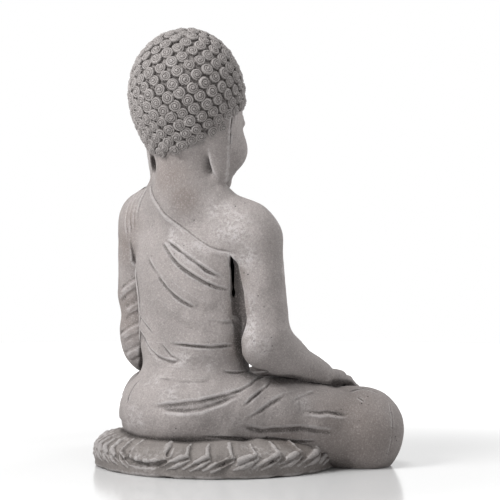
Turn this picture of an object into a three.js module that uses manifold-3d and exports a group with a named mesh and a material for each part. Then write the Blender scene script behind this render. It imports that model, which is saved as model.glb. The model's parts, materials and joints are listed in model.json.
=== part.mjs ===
// Seated Buddha, cast stone, right hand touching the earth.
// Millimetres, +Z up, the figure faces -Y, its left hand is at +X.
// Solid stone castings are pinned to each other with hidden steel dowels.
import * as THREE from 'three';
import { mergeVertices } from 'three/addons/utils/BufferGeometryUtils.js';
import Module from 'manifold-3d';

const wasm = await Module();
wasm.setup();

// ---- driving dimensions -------------------------------------------------
const GAP = 0.3;              // bedding gap between two castings
const FRAME_Y = 45.489;       // the figure's axis lies this far behind the frame origin
const WAIST_Z = 93;           // joint between lap block and torso
const NECK_Z = 268, NECK_SLOPE = 0.25;   // tilted joint plane between torso and head
const ARM_X = 57;             // arm joint planes, left and right of the axis
const BASE_R = 117;           // cushion half depth
const BASE_OVAL = 1.04;       // cushion half width / half depth
const BASE_Y = -42;           // cushion centre
const BASE_RIM = 26, BASE_TOP = 33;   // rim and seat heights
const PLEATS = 34;            // rolled pleats around the rim
const HAIR = 5;               // thickness of the hair over the skull
const DOWEL_R = 5, HOLE_R = 5.4;
const STONE = 0x9b938f, STEEL = 0x8d9094;

// ---- implicit forms: round cones, ellipsoids, rounded boxes -------------
const cone = (a, b, ra, rb, k, m) => ({ t: 'c', a, b, ra, rb, k, m });
const egg = (c, r, k, m, rot) => ({ t: 'e', c, r, k, m, rot });
const block = (c, h, rd, k) => ({ t: 'b', c, h, rd, k });

const HEAD = [
  egg([0, 2, 362], [50.5, 55, 59], 1),
  egg([0, -14, 322], [41, 46, 52], 20),
  egg([0, -26, 296], [27, 26, 27], 14),
  cone([0, 4, 300], [0, 2, 262], 24.5, 27, 10),
  cone([0, -58, 334], [0, -64, 315], 4, 6, 8),
  egg([0, -54, 298], [11, 6, 5], 8),
];
const SKULL = egg([0, 2, 362], [50.5, 55, 59], 1);
const TORSO = [
  egg([0, -10, 188], [63.5, 43.5, 62], 1),
  egg([0, -12, 126], [60, 43, 60], 24),
  cone([50, -14, 232], [-50, -14, 232], 25, 25, 20),
  cone([0, 0, 272], [42, -8, 246], 28, 20, 14, 1),
  cone([0, 3, 290], [0, 0, 250], 25, 29, 12),
  cone([34, -8, 256], [60, -14, 243], 22, 23, 12),
];
const RIGHT_UPPER = [
  egg([-66, -16, 228], [24, 25, 28], 1),
  cone([-70, -17, 220], [-79.5, -18, 136], 23, 21, 14),
  egg([-80, -15, 124], [20, 21, 21], 12),
];
const RIGHT_FORE = [
  egg([-80, -15, 124], [19.5, 20.5, 20.5], 1),
  egg([-86, -38, 111], [17, 20, 17], 14, 0, [-20, 0, 0]),
  cone([-80, -18, 119], [-95, -82, 89], 20, 12.5, 12),
  egg([-92, -97, 85], [15, 20, 10], 8, 0, [8, 0, 4]),
];
const RIGHT_HAND = [
  egg([-90, -103, 84], [15, 22, 10], 1, 0, [10, 0, 4]),
  cone([-90, -112, 82.5], [-88, -131, 77], 13.5, 12, 8),
  cone([-88, -131, 77], [-86.5, -148, 60], 12, 8.5, 8),
  cone([-86.5, -148, 60], [-86, -152, 39], 8.5, 6, 8),
];
const LEFT_UPPER = [
  egg([66, -16, 228], [24, 25, 28], 1),
  cone([70, -18, 220], [74, -20, 134], 22, 22, 14),
  egg([73, -22, 116], [21, 23, 25], 14),
];
const LEFT_FORE = [
  egg([73, -22, 116], [20, 22, 24], 1),
  cone([71, -28, 110], [34, -80, 88], 21, 14, 12),
];
const LEFT_HAND = [
  cone([34, -80, 88], [10, -92, 84], 13, 11, 1),
  egg([-6, -96, 83], [28, 15, 9], 8, 0, [0, 0, 8]),
];
const LEGS = [
  egg([0, -2, 56], [72, 61, 48], 1),
  cone([38, -10, 42], [121, -116, 37], 38, 36.5, 14, 1),
  egg([123.5, -121, 37], [38.5, 38.5, 36], 8, 1),
  cone([122, -120, 22], [100, -112, 22], 35, 30, 10, 1),
  block([0, -84, 32], [84, 44, 32], 24, 20),
  cone([-116, -120, 42], [24, -114, 60], 31, 22, 14),
  cone([56, -20, 59], [94, -70, 52], 32, 30, 14, 1),
  cone([82, -42, 63], [92, -86, 54], 25, 22, 12, 1),
  block([0, -70, 64], [78, 42, 16], 14, 16),
  cone([118, -126, 34], [-30, -130, 30], 33, 24, 12),
  egg([54, -104, 73], [40, 20, 14], 16, 0, [0, -4, 12]),
];

const smin = (a, b, k) => { const h = Math.max(k - Math.abs(a - b), 0); return Math.min(a, b) - h * h * 0.25 / k; };
function sdf(p, x, y, z) {
  if (p.t === 'c') {
    const d = [p.b[0] - p.a[0], p.b[1] - p.a[1], p.b[2] - p.a[2]];
    const px = x - p.a[0], py = y - p.a[1], pz = z - p.a[2];
    const s = Math.min(1, Math.max(0, (px * d[0] + py * d[1] + pz * d[2]) / (d[0] * d[0] + d[1] * d[1] + d[2] * d[2])));
    return Math.hypot(px - s * d[0], py - s * d[1], pz - s * d[2]) - (p.ra + s * (p.rb - p.ra));
  }
  const v = new THREE.Vector3(x - p.c[0], y - p.c[1], z - p.c[2]);
  if (p.rot) v.applyMatrix4(p.inv);
  if (p.t === 'e') {
    const [a, b, c] = [v.x / p.r[0], v.y / p.r[1], v.z / p.r[2]];
    const k0 = Math.hypot(a, b, c), k1 = Math.hypot(a / p.r[0], b / p.r[1], c / p.r[2]) + 1e-9;
    return k0 * (k0 - 1) / k1;
  }
  const q = [Math.abs(v.x) - p.h[0] + p.rd, Math.abs(v.y) - p.h[1] + p.rd, Math.abs(v.z) - p.h[2] + p.rd];
  return Math.hypot(Math.max(q[0], 0), Math.max(q[1], 0), Math.max(q[2], 0)) + Math.min(Math.max(...q), 0) - p.rd;
}
// A list of forms becomes one smooth field; forms marked m are repeated on the other side.
function field(list) {
  const all = [];
  for (const p of list) {
    for (const s of p.m ? [1, -1] : [1]) {
      const q = { ...p };
      for (const key of ['a', 'b', 'c']) if (q[key]) q[key] = [q[key][0] * s, q[key][1], q[key][2]];
      if (q.rot) {
        const r = q.rot.map((d, i) => THREE.MathUtils.degToRad(i > 0 ? d * s : d));
        q.inv = new THREE.Matrix4().makeRotationFromEuler(new THREE.Euler(r[0], r[1], r[2], 'ZYX')).transpose();
      }
      all.push(q);
    }
  }
  return (x, y, z) => { let d = null; for (const p of all) { const e = sdf(p, x, y, z); d = d === null ? e : smin(d, e, p.k); } return d; };
}
const blend = (f, g, k) => (x, y, z) => smin(f(x, y, z), g(x, y, z), k);
const clip = (f, g) => (x, y, z) => Math.max(f(x, y, z), g(x, y, z));

// ---- surface skins: a simple form whose vertices are drawn onto a field ----
function march(f, o, d, iso) {
  let t = 0, step = 1.0, v = f(o.x, o.y, o.z);
  while (v < iso && t < 400) { t += Math.max(0.4, Math.min(6, -(v - iso) * 0.7)); v = f(o.x + d.x * t, o.y + d.y * t, o.z + d.z * t); }
  let a = Math.max(0, t - 6.5), b = t;
  while (f(o.x + d.x * a, o.y + d.y * a, o.z + d.z * a) > iso && a > 0) a = Math.max(0, a - step);
  for (let i = 0; i < 26; i++) { const m = (a + b) / 2; if (f(o.x + d.x * m, o.y + d.y * m, o.z + d.z * m) < iso) a = m; else b = m; }
  return (a + b) / 2;
}
function bare(geometry) {
  geometry.deleteAttribute('normal'); geometry.deleteAttribute('uv');
  return mergeVertices(geometry, 1e-5);
}
// skin around one centre point
function skinRound(f, centre, stretch, nu, nv, iso = 0) {
  const g = bare(new THREE.SphereGeometry(1, nu, nv).rotateX(Math.PI / 2));
  const p = g.attributes.position, c = new THREE.Vector3(...centre), d = new THREE.Vector3();
  for (let i = 0; i < p.count; i++) {
    d.fromBufferAttribute(p, i).multiply(new THREE.Vector3(...stretch)).normalize();
    const t = march(f, c, d, iso);
    p.setXYZ(i, c.x + d.x * t, c.y + d.y * t, c.z + d.z * t);
  }
  return g;
}
// skin around a straight axis
function skinLong(f, from, to, nr, nl, nc, iso = 0) {
  const a = new THREE.Vector3(...from), b = new THREE.Vector3(...to), axis = b.clone().sub(a), len = axis.length();
  axis.normalize();
  const g = bare(new THREE.CapsuleGeometry(1, len, nc, nr, nl));
  const turn = new THREE.Quaternion().setFromUnitVectors(new THREE.Vector3(0, 1, 0), axis);
  const p = g.attributes.position, v = new THREE.Vector3(), d = new THREE.Vector3(), o = new THREE.Vector3();
  for (let i = 0; i < p.count; i++) {
    v.fromBufferAttribute(p, i);
    const y = Math.min(len / 2, Math.max(-len / 2, v.y));
    o.copy(a).addScaledVector(axis, y + len / 2);
    d.set(v.x, v.y - y, v.z).applyQuaternion(turn).normalize();
    const t = march(f, o, d, iso);
    p.setXYZ(i, o.x + d.x * t, o.y + d.y * t, o.z + d.z * t);
  }
  return g;
}

// ---- joining and cutting ------------------------------------------------
function solid(geometry) {
  const g = geometry.index ? geometry : mergeVertices(geometry, 1e-5);
  return new wasm.Manifold(new wasm.Mesh({ numProp: 3, vertProperties: new Float32Array(g.attributes.position.array), triVerts: new Uint32Array(g.index.array) }));
}
const box = (x0, x1, y0, y1, z0, z1) => solid(bare(new THREE.BoxGeometry(x1 - x0, y1 - y0, z1 - z0).translate((x0 + x1) / 2, (y0 + y1) / 2, (z0 + z1) / 2)));
function rod(from, to, r, n = 16) {
  const a = new THREE.Vector3(...from), b = new THREE.Vector3(...to), d = b.clone().sub(a);
  const g = bare(new THREE.CylinderGeometry(r, r, d.length(), n));
  g.applyQuaternion(new THREE.Quaternion().setFromUnitVectors(new THREE.Vector3(0, 1, 0), d.clone().normalize()));
  g.translate((a.x + b.x) / 2, (a.y + b.y) / 2, (a.z + b.z) / 2);
  return solid(g);
}
function largest(s) {
  const bodies = s.decompose().sort((p, q) => q.volume() - p.volume());
  return bodies[0];
}
function toGeometry(s) {
  const m = s.getMesh(), g = new THREE.BufferGeometry();
  const v = new Float32Array(m.numVert * 3);
  for (let i = 0; i < m.numVert; i++) for (let j = 0; j < 3; j++) v[3 * i + j] = m.vertProperties[i * m.numProp + j];
  g.setAttribute('position', new THREE.BufferAttribute(v, 3));
  g.setIndex(new THREE.BufferAttribute(new Uint32Array(m.triVerts), 1));
  return g;
}

// block beyond a side's arm joint plane, moved outward by off
const armSide = (side, off) => side > 0 ? box(ARM_X + off, 400, -300, 300, -100, 600) : box(-400, -ARM_X - off, -300, 300, -100, 600);
const armPlane = side => (x, y, z) => side * x - ARM_X;
// block above the neck joint plane, moved up by off
const neckPlane = (x, y, z) => (z - NECK_Z - NECK_SLOPE * y) / Math.hypot(1, NECK_SLOPE);
function aboveNeck(off) {
  const g = bare(new THREE.BoxGeometry(800, 800, 400).translate(0, 0, 200 + off));
  g.applyQuaternion(new THREE.Quaternion().setFromAxisAngle(new THREE.Vector3(1, 0, 0), Math.atan(NECK_SLOPE)));
  return solid(g.translate(0, 0, NECK_Z));
}

// ---- the castings ---------------------------------------------------------
const fTorso = field(TORSO), fLegs = field(LEGS), fHead = field(HEAD);
const fRU = field(RIGHT_UPPER), fLU = field(LEFT_UPPER);
const soft = z => { const t = Math.min(1, Math.max(0, (z - 195) / 40)); return 3 + 13 * t * t * (3 - 2 * t); };
const fShoulders = (x, y, z) => smin(fTorso(x, y, z), smin(fRU(x, y, z), fLU(x, y, z), 1), soft(z));
const fWaist = blend(fTorso, fLegs, 12);

// cushion base: turned disc with a rim of rolled pleats
function cushion(off) {
  const pts = [[0, 0 - off], [BASE_R - 3, 0 - off], [BASE_R, 3], [BASE_R, 9], [BASE_R - 1.5, 10], [BASE_R - 0.5, 17], [BASE_R - 4, 23], [BASE_R - 10, BASE_RIM], [BASE_R - 26, 31], [BASE_R - 36, BASE_TOP], [0, BASE_TOP]]
    .map(([r, z], i, a) => new THREE.Vector2(i === 0 || i === a.length - 1 ? 0 : r + off, z + (z > 9 ? off : 0)));
  const g = bare(new THREE.LatheGeometry(pts, 2 * PLEATS).rotateX(Math.PI / 2));
  const p = g.attributes.position;
  for (let i = 0; i < p.count; i++) {
    let x = p.getX(i), y = p.getY(i); const z = p.getZ(i), r = Math.hypot(x, y), a = Math.atan2(y, x);
    if (r > 60 && z > 9.5 && z < 32) { const k = 1 + 1.6 * (Math.round(a / (Math.PI / PLEATS)) % 2 ? -1 : 1) / r; x *= k; y *= k; }
    p.setXYZ(i, x * BASE_OVAL, y + BASE_Y, z);
  }
  return solid(g);
}
let base = cushion(0);
const baseCut = cushion(GAP);

// lap block: hips, folded legs, shins and the foot lying on the left thigh
const legForm = (x, y, z) => Math.max(fWaist(x, y, z), z - WAIST_Z - 6, -14 - z);
const legSkin = iso => skinRound(legForm, [0, -70, 20], [1.5, 1.15, 0.72], 42, 22, iso);
let legs = solid(legSkin(0)).intersect(box(-200, 200, -250, 200, 0, WAIST_Z - GAP / 2)).subtract(baseCut);
const legsCut = solid(legSkin(GAP)).intersect(box(-200, 200, -250, 200, -2, WAIST_Z + GAP / 2));

// torso between waist, neck and the two arm joints
const fNeck = blend(fShoulders, fHead, 10);
const torsoForm = (x, y, z) => Math.max(fNeck(x, y, z), WAIST_Z - 6 - z, neckPlane(x, y, z) - 6, armPlane(1)(x, y, z) - 6, armPlane(-1)(x, y, z) - 6);
const torsoSkin = iso => skinRound(torsoForm, [0, -10, 180], [1, 0.85, 1.5], 30, 20, iso);
let torso = solid(torsoSkin(0)).intersect(box(-ARM_X + GAP / 2, ARM_X - GAP / 2, -200, 200, WAIST_Z + GAP / 2, 400)).subtract(aboveNeck(-GAP / 2));
const torsoCut = solid(torsoSkin(GAP)).intersect(box(-ARM_X - GAP / 2, ARM_X + GAP / 2, -200, 200, WAIST_Z - GAP / 2, 400)).subtract(aboveNeck(GAP / 2));

// head with neck, plain face and long ears
const headForm = (x, y, z) => Math.max(blend(fHead, fTorso, 12)(x, y, z), -neckPlane(x, y, z) - 6);
const headSkin = iso => solid(skinRound(headForm, [0, -6, 318], [1, 1, 1.25], 28, 20, iso));
const ear = side => {
  const g = bare(new THREE.SphereGeometry(1, 10, 8).rotateX(Math.PI / 2)).scale(5.5, 12, 29);
  g.applyMatrix4(new THREE.Matrix4().makeRotationFromEuler(new THREE.Euler(0, side * THREE.MathUtils.degToRad(3), side * THREE.MathUtils.degToRad(24), 'ZYX')));
  const lobe = bare(new THREE.CapsuleGeometry(5.5, 16, 2, 8).rotateX(Math.PI / 2)).translate(side * 42.5, -3, 294);
  return solid(g.translate(side * 44, 2.5, 317)).add(solid(lobe));
};
const headBlock = headSkin(GAP).add(ear(1)).add(ear(-1));
let head = headSkin(0).add(ear(1)).add(ear(-1)).intersect(aboveNeck(GAP / 2));

// hair: a cap over the skull, its lower edge following the hairline from nape to forehead
const capOuter = solid(skinRound((x, y, z) => sdf(SKULL, x, y, z) - HAIR, [0, 2, 355], [1, 1, 1.1], 24, 16));
const hairline = new THREE.Shape([[-90, 352], [-52, 353], [-36, 349], [-20, 342], [-6, 346], [8, 344], [24, 328], [40, 311], [56, 304], [90, 302], [90, 450], [-90, 450]].map(([y, z]) => new THREE.Vector2(y, z)));
const hairTool = solid(bare(new THREE.ExtrudeGeometry(hairline, { depth: 200, bevelEnabled: false }).translate(0, 0, -100).applyMatrix4(new THREE.Matrix4().makeBasis(new THREE.Vector3(0, 1, 0), new THREE.Vector3(0, 0, 1), new THREE.Vector3(1, 0, 0)))));
let hair = largest(capOuter.intersect(hairTool).subtract(headBlock));

// arms
const foreR = solid(skinLong(field(RIGHT_FORE), [-80, -18, 120], [-94, -98, 84], 12, 7, 3));
const handR = solid(skinLong(field([RIGHT_HAND[0], RIGHT_HAND[1]]), [-91, -98, 84], [-88, -130, 77], 12, 4, 3))
  .add(solid(skinLong(field([RIGHT_HAND[2], RIGHT_HAND[3]]), [-88, -132, 76], [-86, -152, 41], 10, 4, 3)))
  .add(solid(skinLong(field([cone([-80, -98, 83], [-70, -122, 78], 7, 5, 1)]), [-80, -98, 83], [-70, -122, 78], 8, 3, 2)));
const upperForm = (u, side) => (x, y, z) => Math.max(z > 190 ? smin(u(x, y, z), fTorso(x, y, z), soft(z)) : u(x, y, z), -armPlane(side)(x, y, z) - 6);
const upperR = solid(skinLong(upperForm(fRU, -1), [-70, -16, 228], [-80, -16, 124], 16, 12, 4));
const upperL = solid(skinLong(upperForm(fLU, 1), [70, -16, 228], [73.5, -21, 118], 16, 12, 4));
const foreL = solid(skinLong(field(LEFT_FORE), [73, -24, 114], [36, -78, 89], 12, 7, 3));
const handL = solid(skinLong(field(LEFT_HAND), [34, -80, 88], [-24, -97, 83], 12, 7, 3));
let rightArm = upperR.intersect(armSide(-1, GAP / 2)).add(foreR).add(handR).subtract(torsoCut).subtract(legsCut);
let leftArm = upperL.intersect(armSide(1, GAP / 2)).add(foreL).add(handL).subtract(torsoCut).subtract(legsCut);

// ---- dowels ---------------------------------------------------------------
const DOWELS = {
  neck_dowel: [[0, 2, 232], [0, 0, 292], 6],
  waist_dowel_left: [[24, -8, 62], [24, -8, 128], DOWEL_R],
  waist_dowel_right: [[-24, -8, 62], [-24, -8, 128], DOWEL_R],
  right_shoulder_dowel: [[-36, -14, 228], [-76, -16, 228], DOWEL_R],
  left_shoulder_dowel: [[36, -14, 228], [76, -16, 228], DOWEL_R],
  right_hand_dowel: [[-90, -106, 50], [-90, -106, 84], 3],
  left_hand_dowel: [[0, -95, 50], [0, -95, 85], 3],
  base_dowel_left: [[40, -40, 8], [40, -40, 58], DOWEL_R],
  base_dowel_right: [[-40, -40, 8], [-40, -40, 58], DOWEL_R],
};
const holes = {};
for (const [name, [a, b, r]] of Object.entries(DOWELS)) {
  const A = new THREE.Vector3(...a), B = new THREE.Vector3(...b), d = B.clone().sub(A).normalize();
  A.addScaledVector(d, -0.6); B.addScaledVector(d, 0.6);
  holes[name] = rod(A.toArray(), B.toArray(), r + HOLE_R - DOWEL_R, 12);
}
legs = legs.subtract(holes.waist_dowel_left).subtract(holes.waist_dowel_right).subtract(holes.right_hand_dowel).subtract(holes.left_hand_dowel).subtract(holes.base_dowel_left).subtract(holes.base_dowel_right);
base = base.subtract(holes.base_dowel_left).subtract(holes.base_dowel_right);
torso = torso.subtract(holes.waist_dowel_left).subtract(holes.waist_dowel_right).subtract(holes.neck_dowel).subtract(holes.right_shoulder_dowel).subtract(holes.left_shoulder_dowel);
head = head.subtract(holes.neck_dowel);
rightArm = rightArm.subtract(holes.right_shoulder_dowel).subtract(holes.right_hand_dowel);
leftArm = leftArm.subtract(holes.left_shoulder_dowel).subtract(holes.left_hand_dowel);

// ---- the object -------------------------------------------------------------
const group = new THREE.Group();
group.position.set(0, FRAME_Y, 0);
const stone = c => new THREE.MeshStandardMaterial({ color: c, roughness: 0.9, metalness: 0 });
const steel = () => new THREE.MeshStandardMaterial({ color: STEEL, roughness: 0.35, metalness: 1 });
function place(name, s, material) {
  const mesh = new THREE.Mesh(toGeometry(largest(s)), material);
  mesh.name = name;
  group.add(mesh);
}
place('lotus_cushion', base, stone(0x8f8884));
place('crossed_legs', legs, stone(STONE));
place('torso', torso, stone(0xa09894));
place('head', head, stone(STONE));
place('hair_cap', hair, stone(0xa6a09e));
place('right_arm', rightArm, stone(STONE));
place('left_arm', leftArm, stone(0xa09894));
for (const [name, [a, b, r]] of Object.entries(DOWELS)) place(name, rod(a, b, r, 16), steel());

export default group;
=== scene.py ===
# Seated Buddha, cast stone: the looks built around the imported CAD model.
import bpy, bmesh, math, json, time
import numpy as np
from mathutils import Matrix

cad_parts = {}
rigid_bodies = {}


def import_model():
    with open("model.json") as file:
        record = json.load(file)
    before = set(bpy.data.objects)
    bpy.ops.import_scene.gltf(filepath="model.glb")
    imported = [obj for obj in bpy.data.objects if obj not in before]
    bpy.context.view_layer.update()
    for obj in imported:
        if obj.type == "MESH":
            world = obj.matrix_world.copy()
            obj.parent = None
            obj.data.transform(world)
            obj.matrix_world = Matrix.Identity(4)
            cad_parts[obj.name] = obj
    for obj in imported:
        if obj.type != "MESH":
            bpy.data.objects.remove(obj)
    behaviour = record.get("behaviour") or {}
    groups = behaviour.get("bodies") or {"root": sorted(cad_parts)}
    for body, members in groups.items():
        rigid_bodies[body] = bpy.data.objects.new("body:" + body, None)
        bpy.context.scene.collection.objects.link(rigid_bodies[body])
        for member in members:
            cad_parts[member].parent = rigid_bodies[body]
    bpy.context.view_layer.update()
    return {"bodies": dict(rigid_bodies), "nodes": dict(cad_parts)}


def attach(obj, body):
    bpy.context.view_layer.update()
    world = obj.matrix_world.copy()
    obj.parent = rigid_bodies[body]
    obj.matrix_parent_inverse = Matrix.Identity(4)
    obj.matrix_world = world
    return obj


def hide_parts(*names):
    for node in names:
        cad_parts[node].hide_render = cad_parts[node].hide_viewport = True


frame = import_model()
import openvdb
from mathutils import Vector, Matrix

FY = 45.489            # mm, the figure's axis behind the frame origin
H = 1.05   # voxel of the figure, mm
T0 = time.time()
def say(*a): print("[%.1fs]" % (time.time() - T0), *a)

# ======================================================================
# implicit forms, millimetres, the figure faces -Y, its left is +X
# ======================================================================
def C(a, b, ra, rb, k, op='+', m=0): return dict(t='c', a=a, b=b, r=(ra, rb), k=k, op=op, m=m)
def E(c, r, k, op='+', m=0, rot=None): return dict(t='e', c=c, r=r, k=k, op=op, m=m, rot=rot)
def B(c, h, rd, k, op='+', m=0, rot=None): return dict(t='b', c=c, h=h, rd=rd, k=k, op=op, m=m, rot=rot)
def chain(pts, rads, k, op='+', m=0):
    if not hasattr(rads, '__len__'): rads = [rads] * len(pts)
    return [C(list(pts[i]), list(pts[i + 1]), rads[i], rads[i + 1], k, op, m) for i in range(len(pts) - 1)]
def rotm(rot):
    rx, ry, rz = [math.radians(v) for v in rot]
    X = np.array([[1, 0, 0], [0, math.cos(rx), -math.sin(rx)], [0, math.sin(rx), math.cos(rx)]])
    Y = np.array([[math.cos(ry), 0, math.sin(ry)], [0, 1, 0], [-math.sin(ry), 0, math.cos(ry)]])
    Z = np.array([[math.cos(rz), -math.sin(rz), 0], [math.sin(rz), math.cos(rz), 0], [0, 0, 1]])
    return Z @ Y @ X
def expand(prims):
    out = []
    for p in prims:
        p = dict(p); out.append(p)
        if p.get('m'):
            q = dict(p)
            for key in ('a', 'b', 'c'):
                if key in q: q[key] = [-q[key][0]] + list(q[key][1:])
            if q.get('rot'): q['rot'] = [q['rot'][0], -q['rot'][1], -q['rot'][2]]
            out.append(q)
    for p in out:
        if p.get('rot'): p['R'] = rotm(p['rot']).astype(np.float32)
    return out
def ev(p, X, Y, Z):
    t = p['t']
    if t == 'c':
        a = p['a']; b = p['b']; d = [b[i] - a[i] for i in range(3)]
        L2 = sum(v * v for v in d) + 1e-9
        px, py, pz = X - a[0], Y - a[1], Z - a[2]
        s = np.clip((px * d[0] + py * d[1] + pz * d[2]) / L2, 0, 1)
        qx = px - s * d[0]; qy = py - s * d[1]; qz = pz - s * d[2]
        return np.sqrt(qx * qx + qy * qy + qz * qz) - (p['r'][0] + s * (p['r'][1] - p['r'][0]))
    c = p['c']
    if t == 'k':
        q = np.sqrt(((X - c[0]) / 1.04) ** 2 + (Y - c[1]) ** 2) - p['r'] + p['rd']
        zc = (p['z'][0] + p['z'][1]) / 2; hz = (p['z'][1] - p['z'][0]) / 2
        w = np.abs(Z - zc) - hz + p['rd']
        return np.sqrt(np.maximum(q, 0) ** 2 + np.maximum(w, 0) ** 2) + np.minimum(np.maximum(q, w), 0) - p['rd']
    px, py, pz = X - c[0], Y - c[1], Z - c[2]
    if p.get('rot'):
        R = p['R']
        px, py, pz = (R[0, 0] * px + R[1, 0] * py + R[2, 0] * pz, R[0, 1] * px + R[1, 1] * py + R[2, 1] * pz, R[0, 2] * px + R[1, 2] * py + R[2, 2] * pz)
    if t == 'e':
        r = p['r']
        ax, ay, az = px / r[0], py / r[1], pz / r[2]
        k0 = np.sqrt(ax * ax + ay * ay + az * az)
        bx, by, bz = ax / r[0], ay / r[1], az / r[2]
        k1 = np.sqrt(bx * bx + by * by + bz * bz) + 1e-9
        return k0 * (k0 - 1) / k1
    h = p['h']; rd = p['rd']
    qx, qy, qz = np.abs(px) - h[0] + rd, np.abs(py) - h[1] + rd, np.abs(pz) - h[2] + rd
    return np.sqrt(np.maximum(qx, 0) ** 2 + np.maximum(qy, 0) ** 2 + np.maximum(qz, 0) ** 2) + np.minimum(np.maximum(qx, np.maximum(qy, qz)), 0) - rd
def smin(a, b, k):
    h = np.maximum(k - np.abs(a - b), 0)
    return np.minimum(a, b) - h * h * (0.25 / k)
def comb(d, e, p):
    if p['op'] == '+': return e if d is None else smin(d, e, p['k'])
    return -smin(-d, e, p['k'])
BIG = np.float32(1e3)
class Grp:
    def __init__(s, prims): s.P = expand(prims); s.kmax = max([p['k'] for p in s.P] + [1])
    def full(s, X, Y, Z):
        d = None
        for p in s.P: d = comb(d, ev(p, X, Y, Z), p)
        return d
    def coarse(s, X, Y, Z):
        s.Ev = [ev(p, X, Y, Z) for p in s.P]; d = None
        for p, e in zip(s.P, s.Ev): d = comb(d, e, p)
        s.D = d
        return d
    def fine(s, x, y, z, i, R):
        dc = s.D[i]; v = None
        for p, e in zip(s.P, s.Ev):
            ec = e[i]
            if p['op'] == '+':
                if ec - R > dc + R + p['k'] + 5: continue
            elif v is None or -ec + R < dc - R - p['k'] - 5: continue
            v = comb(v, ev(p, x, y, z), p)
        return BIG if v is None else v
class Mix:
    """smooth union of two fields; k is a number or a function of height"""
    def __init__(s, a, b, k, kmax=None): s.a = a; s.b = b; s.k = k if callable(k) else (lambda z: k); s.kmax = kmax or (k if not callable(k) else 20)
    def full(s, X, Y, Z): return smin(s.a.full(X, Y, Z), s.b.full(X, Y, Z), s.k(Z))
    def coarse(s, X, Y, Z):
        s.D = smin(s.a.coarse(X, Y, Z), s.b.coarse(X, Y, Z), s.k(Z)); return s.D
    def fine(s, x, y, z, i, R):
        da, db = s.a.D[i], s.b.D[i]; m = 2 * R + s.kmax + 6
        if da > db + m: return s.b.fine(x, y, z, i, R)
        if db > da + m: return s.a.fine(x, y, z, i, R)
        return smin(s.a.fine(x, y, z, i, R), s.b.fine(x, y, z, i, R), s.k(z))
class Max:
    """the part of a that is also inside the region fn(x, y, z, fields) < 0"""
    def __init__(s, a, fn, *others): s.a = a; s.fn = fn; s.o = others
    def full(s, X, Y, Z): return np.maximum(s.a.full(X, Y, Z), s.fn(X, Y, Z, *[o.full(X, Y, Z) for o in s.o]))
    def coarse(s, X, Y, Z):
        s.D = np.maximum(s.a.coarse(X, Y, Z), s.fn(X, Y, Z, *[o.coarse(X, Y, Z) for o in s.o])); return s.D
    def fine(s, x, y, z, i, R):
        return np.maximum(s.a.fine(x, y, z, i, R), s.fn(x, y, z, *[o.fine(x, y, z, i, R) for o in s.o]))
def surface(f, lo, hi, h, Bk=16, band=3.0):
    """surface of the field inside a box: vertices in mm and quads"""
    lo = np.array(lo, float); hi = np.array(hi, float)
    nb = np.ceil((hi - lo) / (h * Bk)).astype(int)
    ax = [(lo[i] + h * (np.arange(nb[i]) * Bk + (Bk - 1) / 2)).astype(np.float32) for i in range(3)]
    CX, CY, CZ = np.meshgrid(*ax, indexing='ij')
    d = f.coarse(CX, CY, CZ)
    R = Bk * h * math.sqrt(3) / 2 * 1.15 + band * h
    F = np.empty(nb * Bk, np.float32)
    Ft = F.reshape(nb[0], Bk, nb[1], Bk, nb[2], Bk)
    lim = band * h
    Ft[:] = np.clip(d, -lim, lim)[:, None, :, None, :, None]
    off = (np.arange(Bk) * h).astype(np.float32)
    for i, j, k in np.argwhere(np.abs(d) < R + 4):
        x = (lo[0] + i * Bk * h + off)[:, None, None].astype(np.float32); y = (lo[1] + j * Bk * h + off)[None, :, None].astype(np.float32); z = (lo[2] + k * Bk * h + off)[None, None, :].astype(np.float32)
        Ft[i, :, j, :, k, :] = np.clip(f.fine(x, y, z, (i, j, k), R), -lim, lim)
    g = openvdb.FloatGrid(3 * h); g.copyFromArray(F)
    pts, quads = g.convertToQuads(0.0)
    return pts.astype(np.float64) * h + lo, quads.astype(np.int64)

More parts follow.
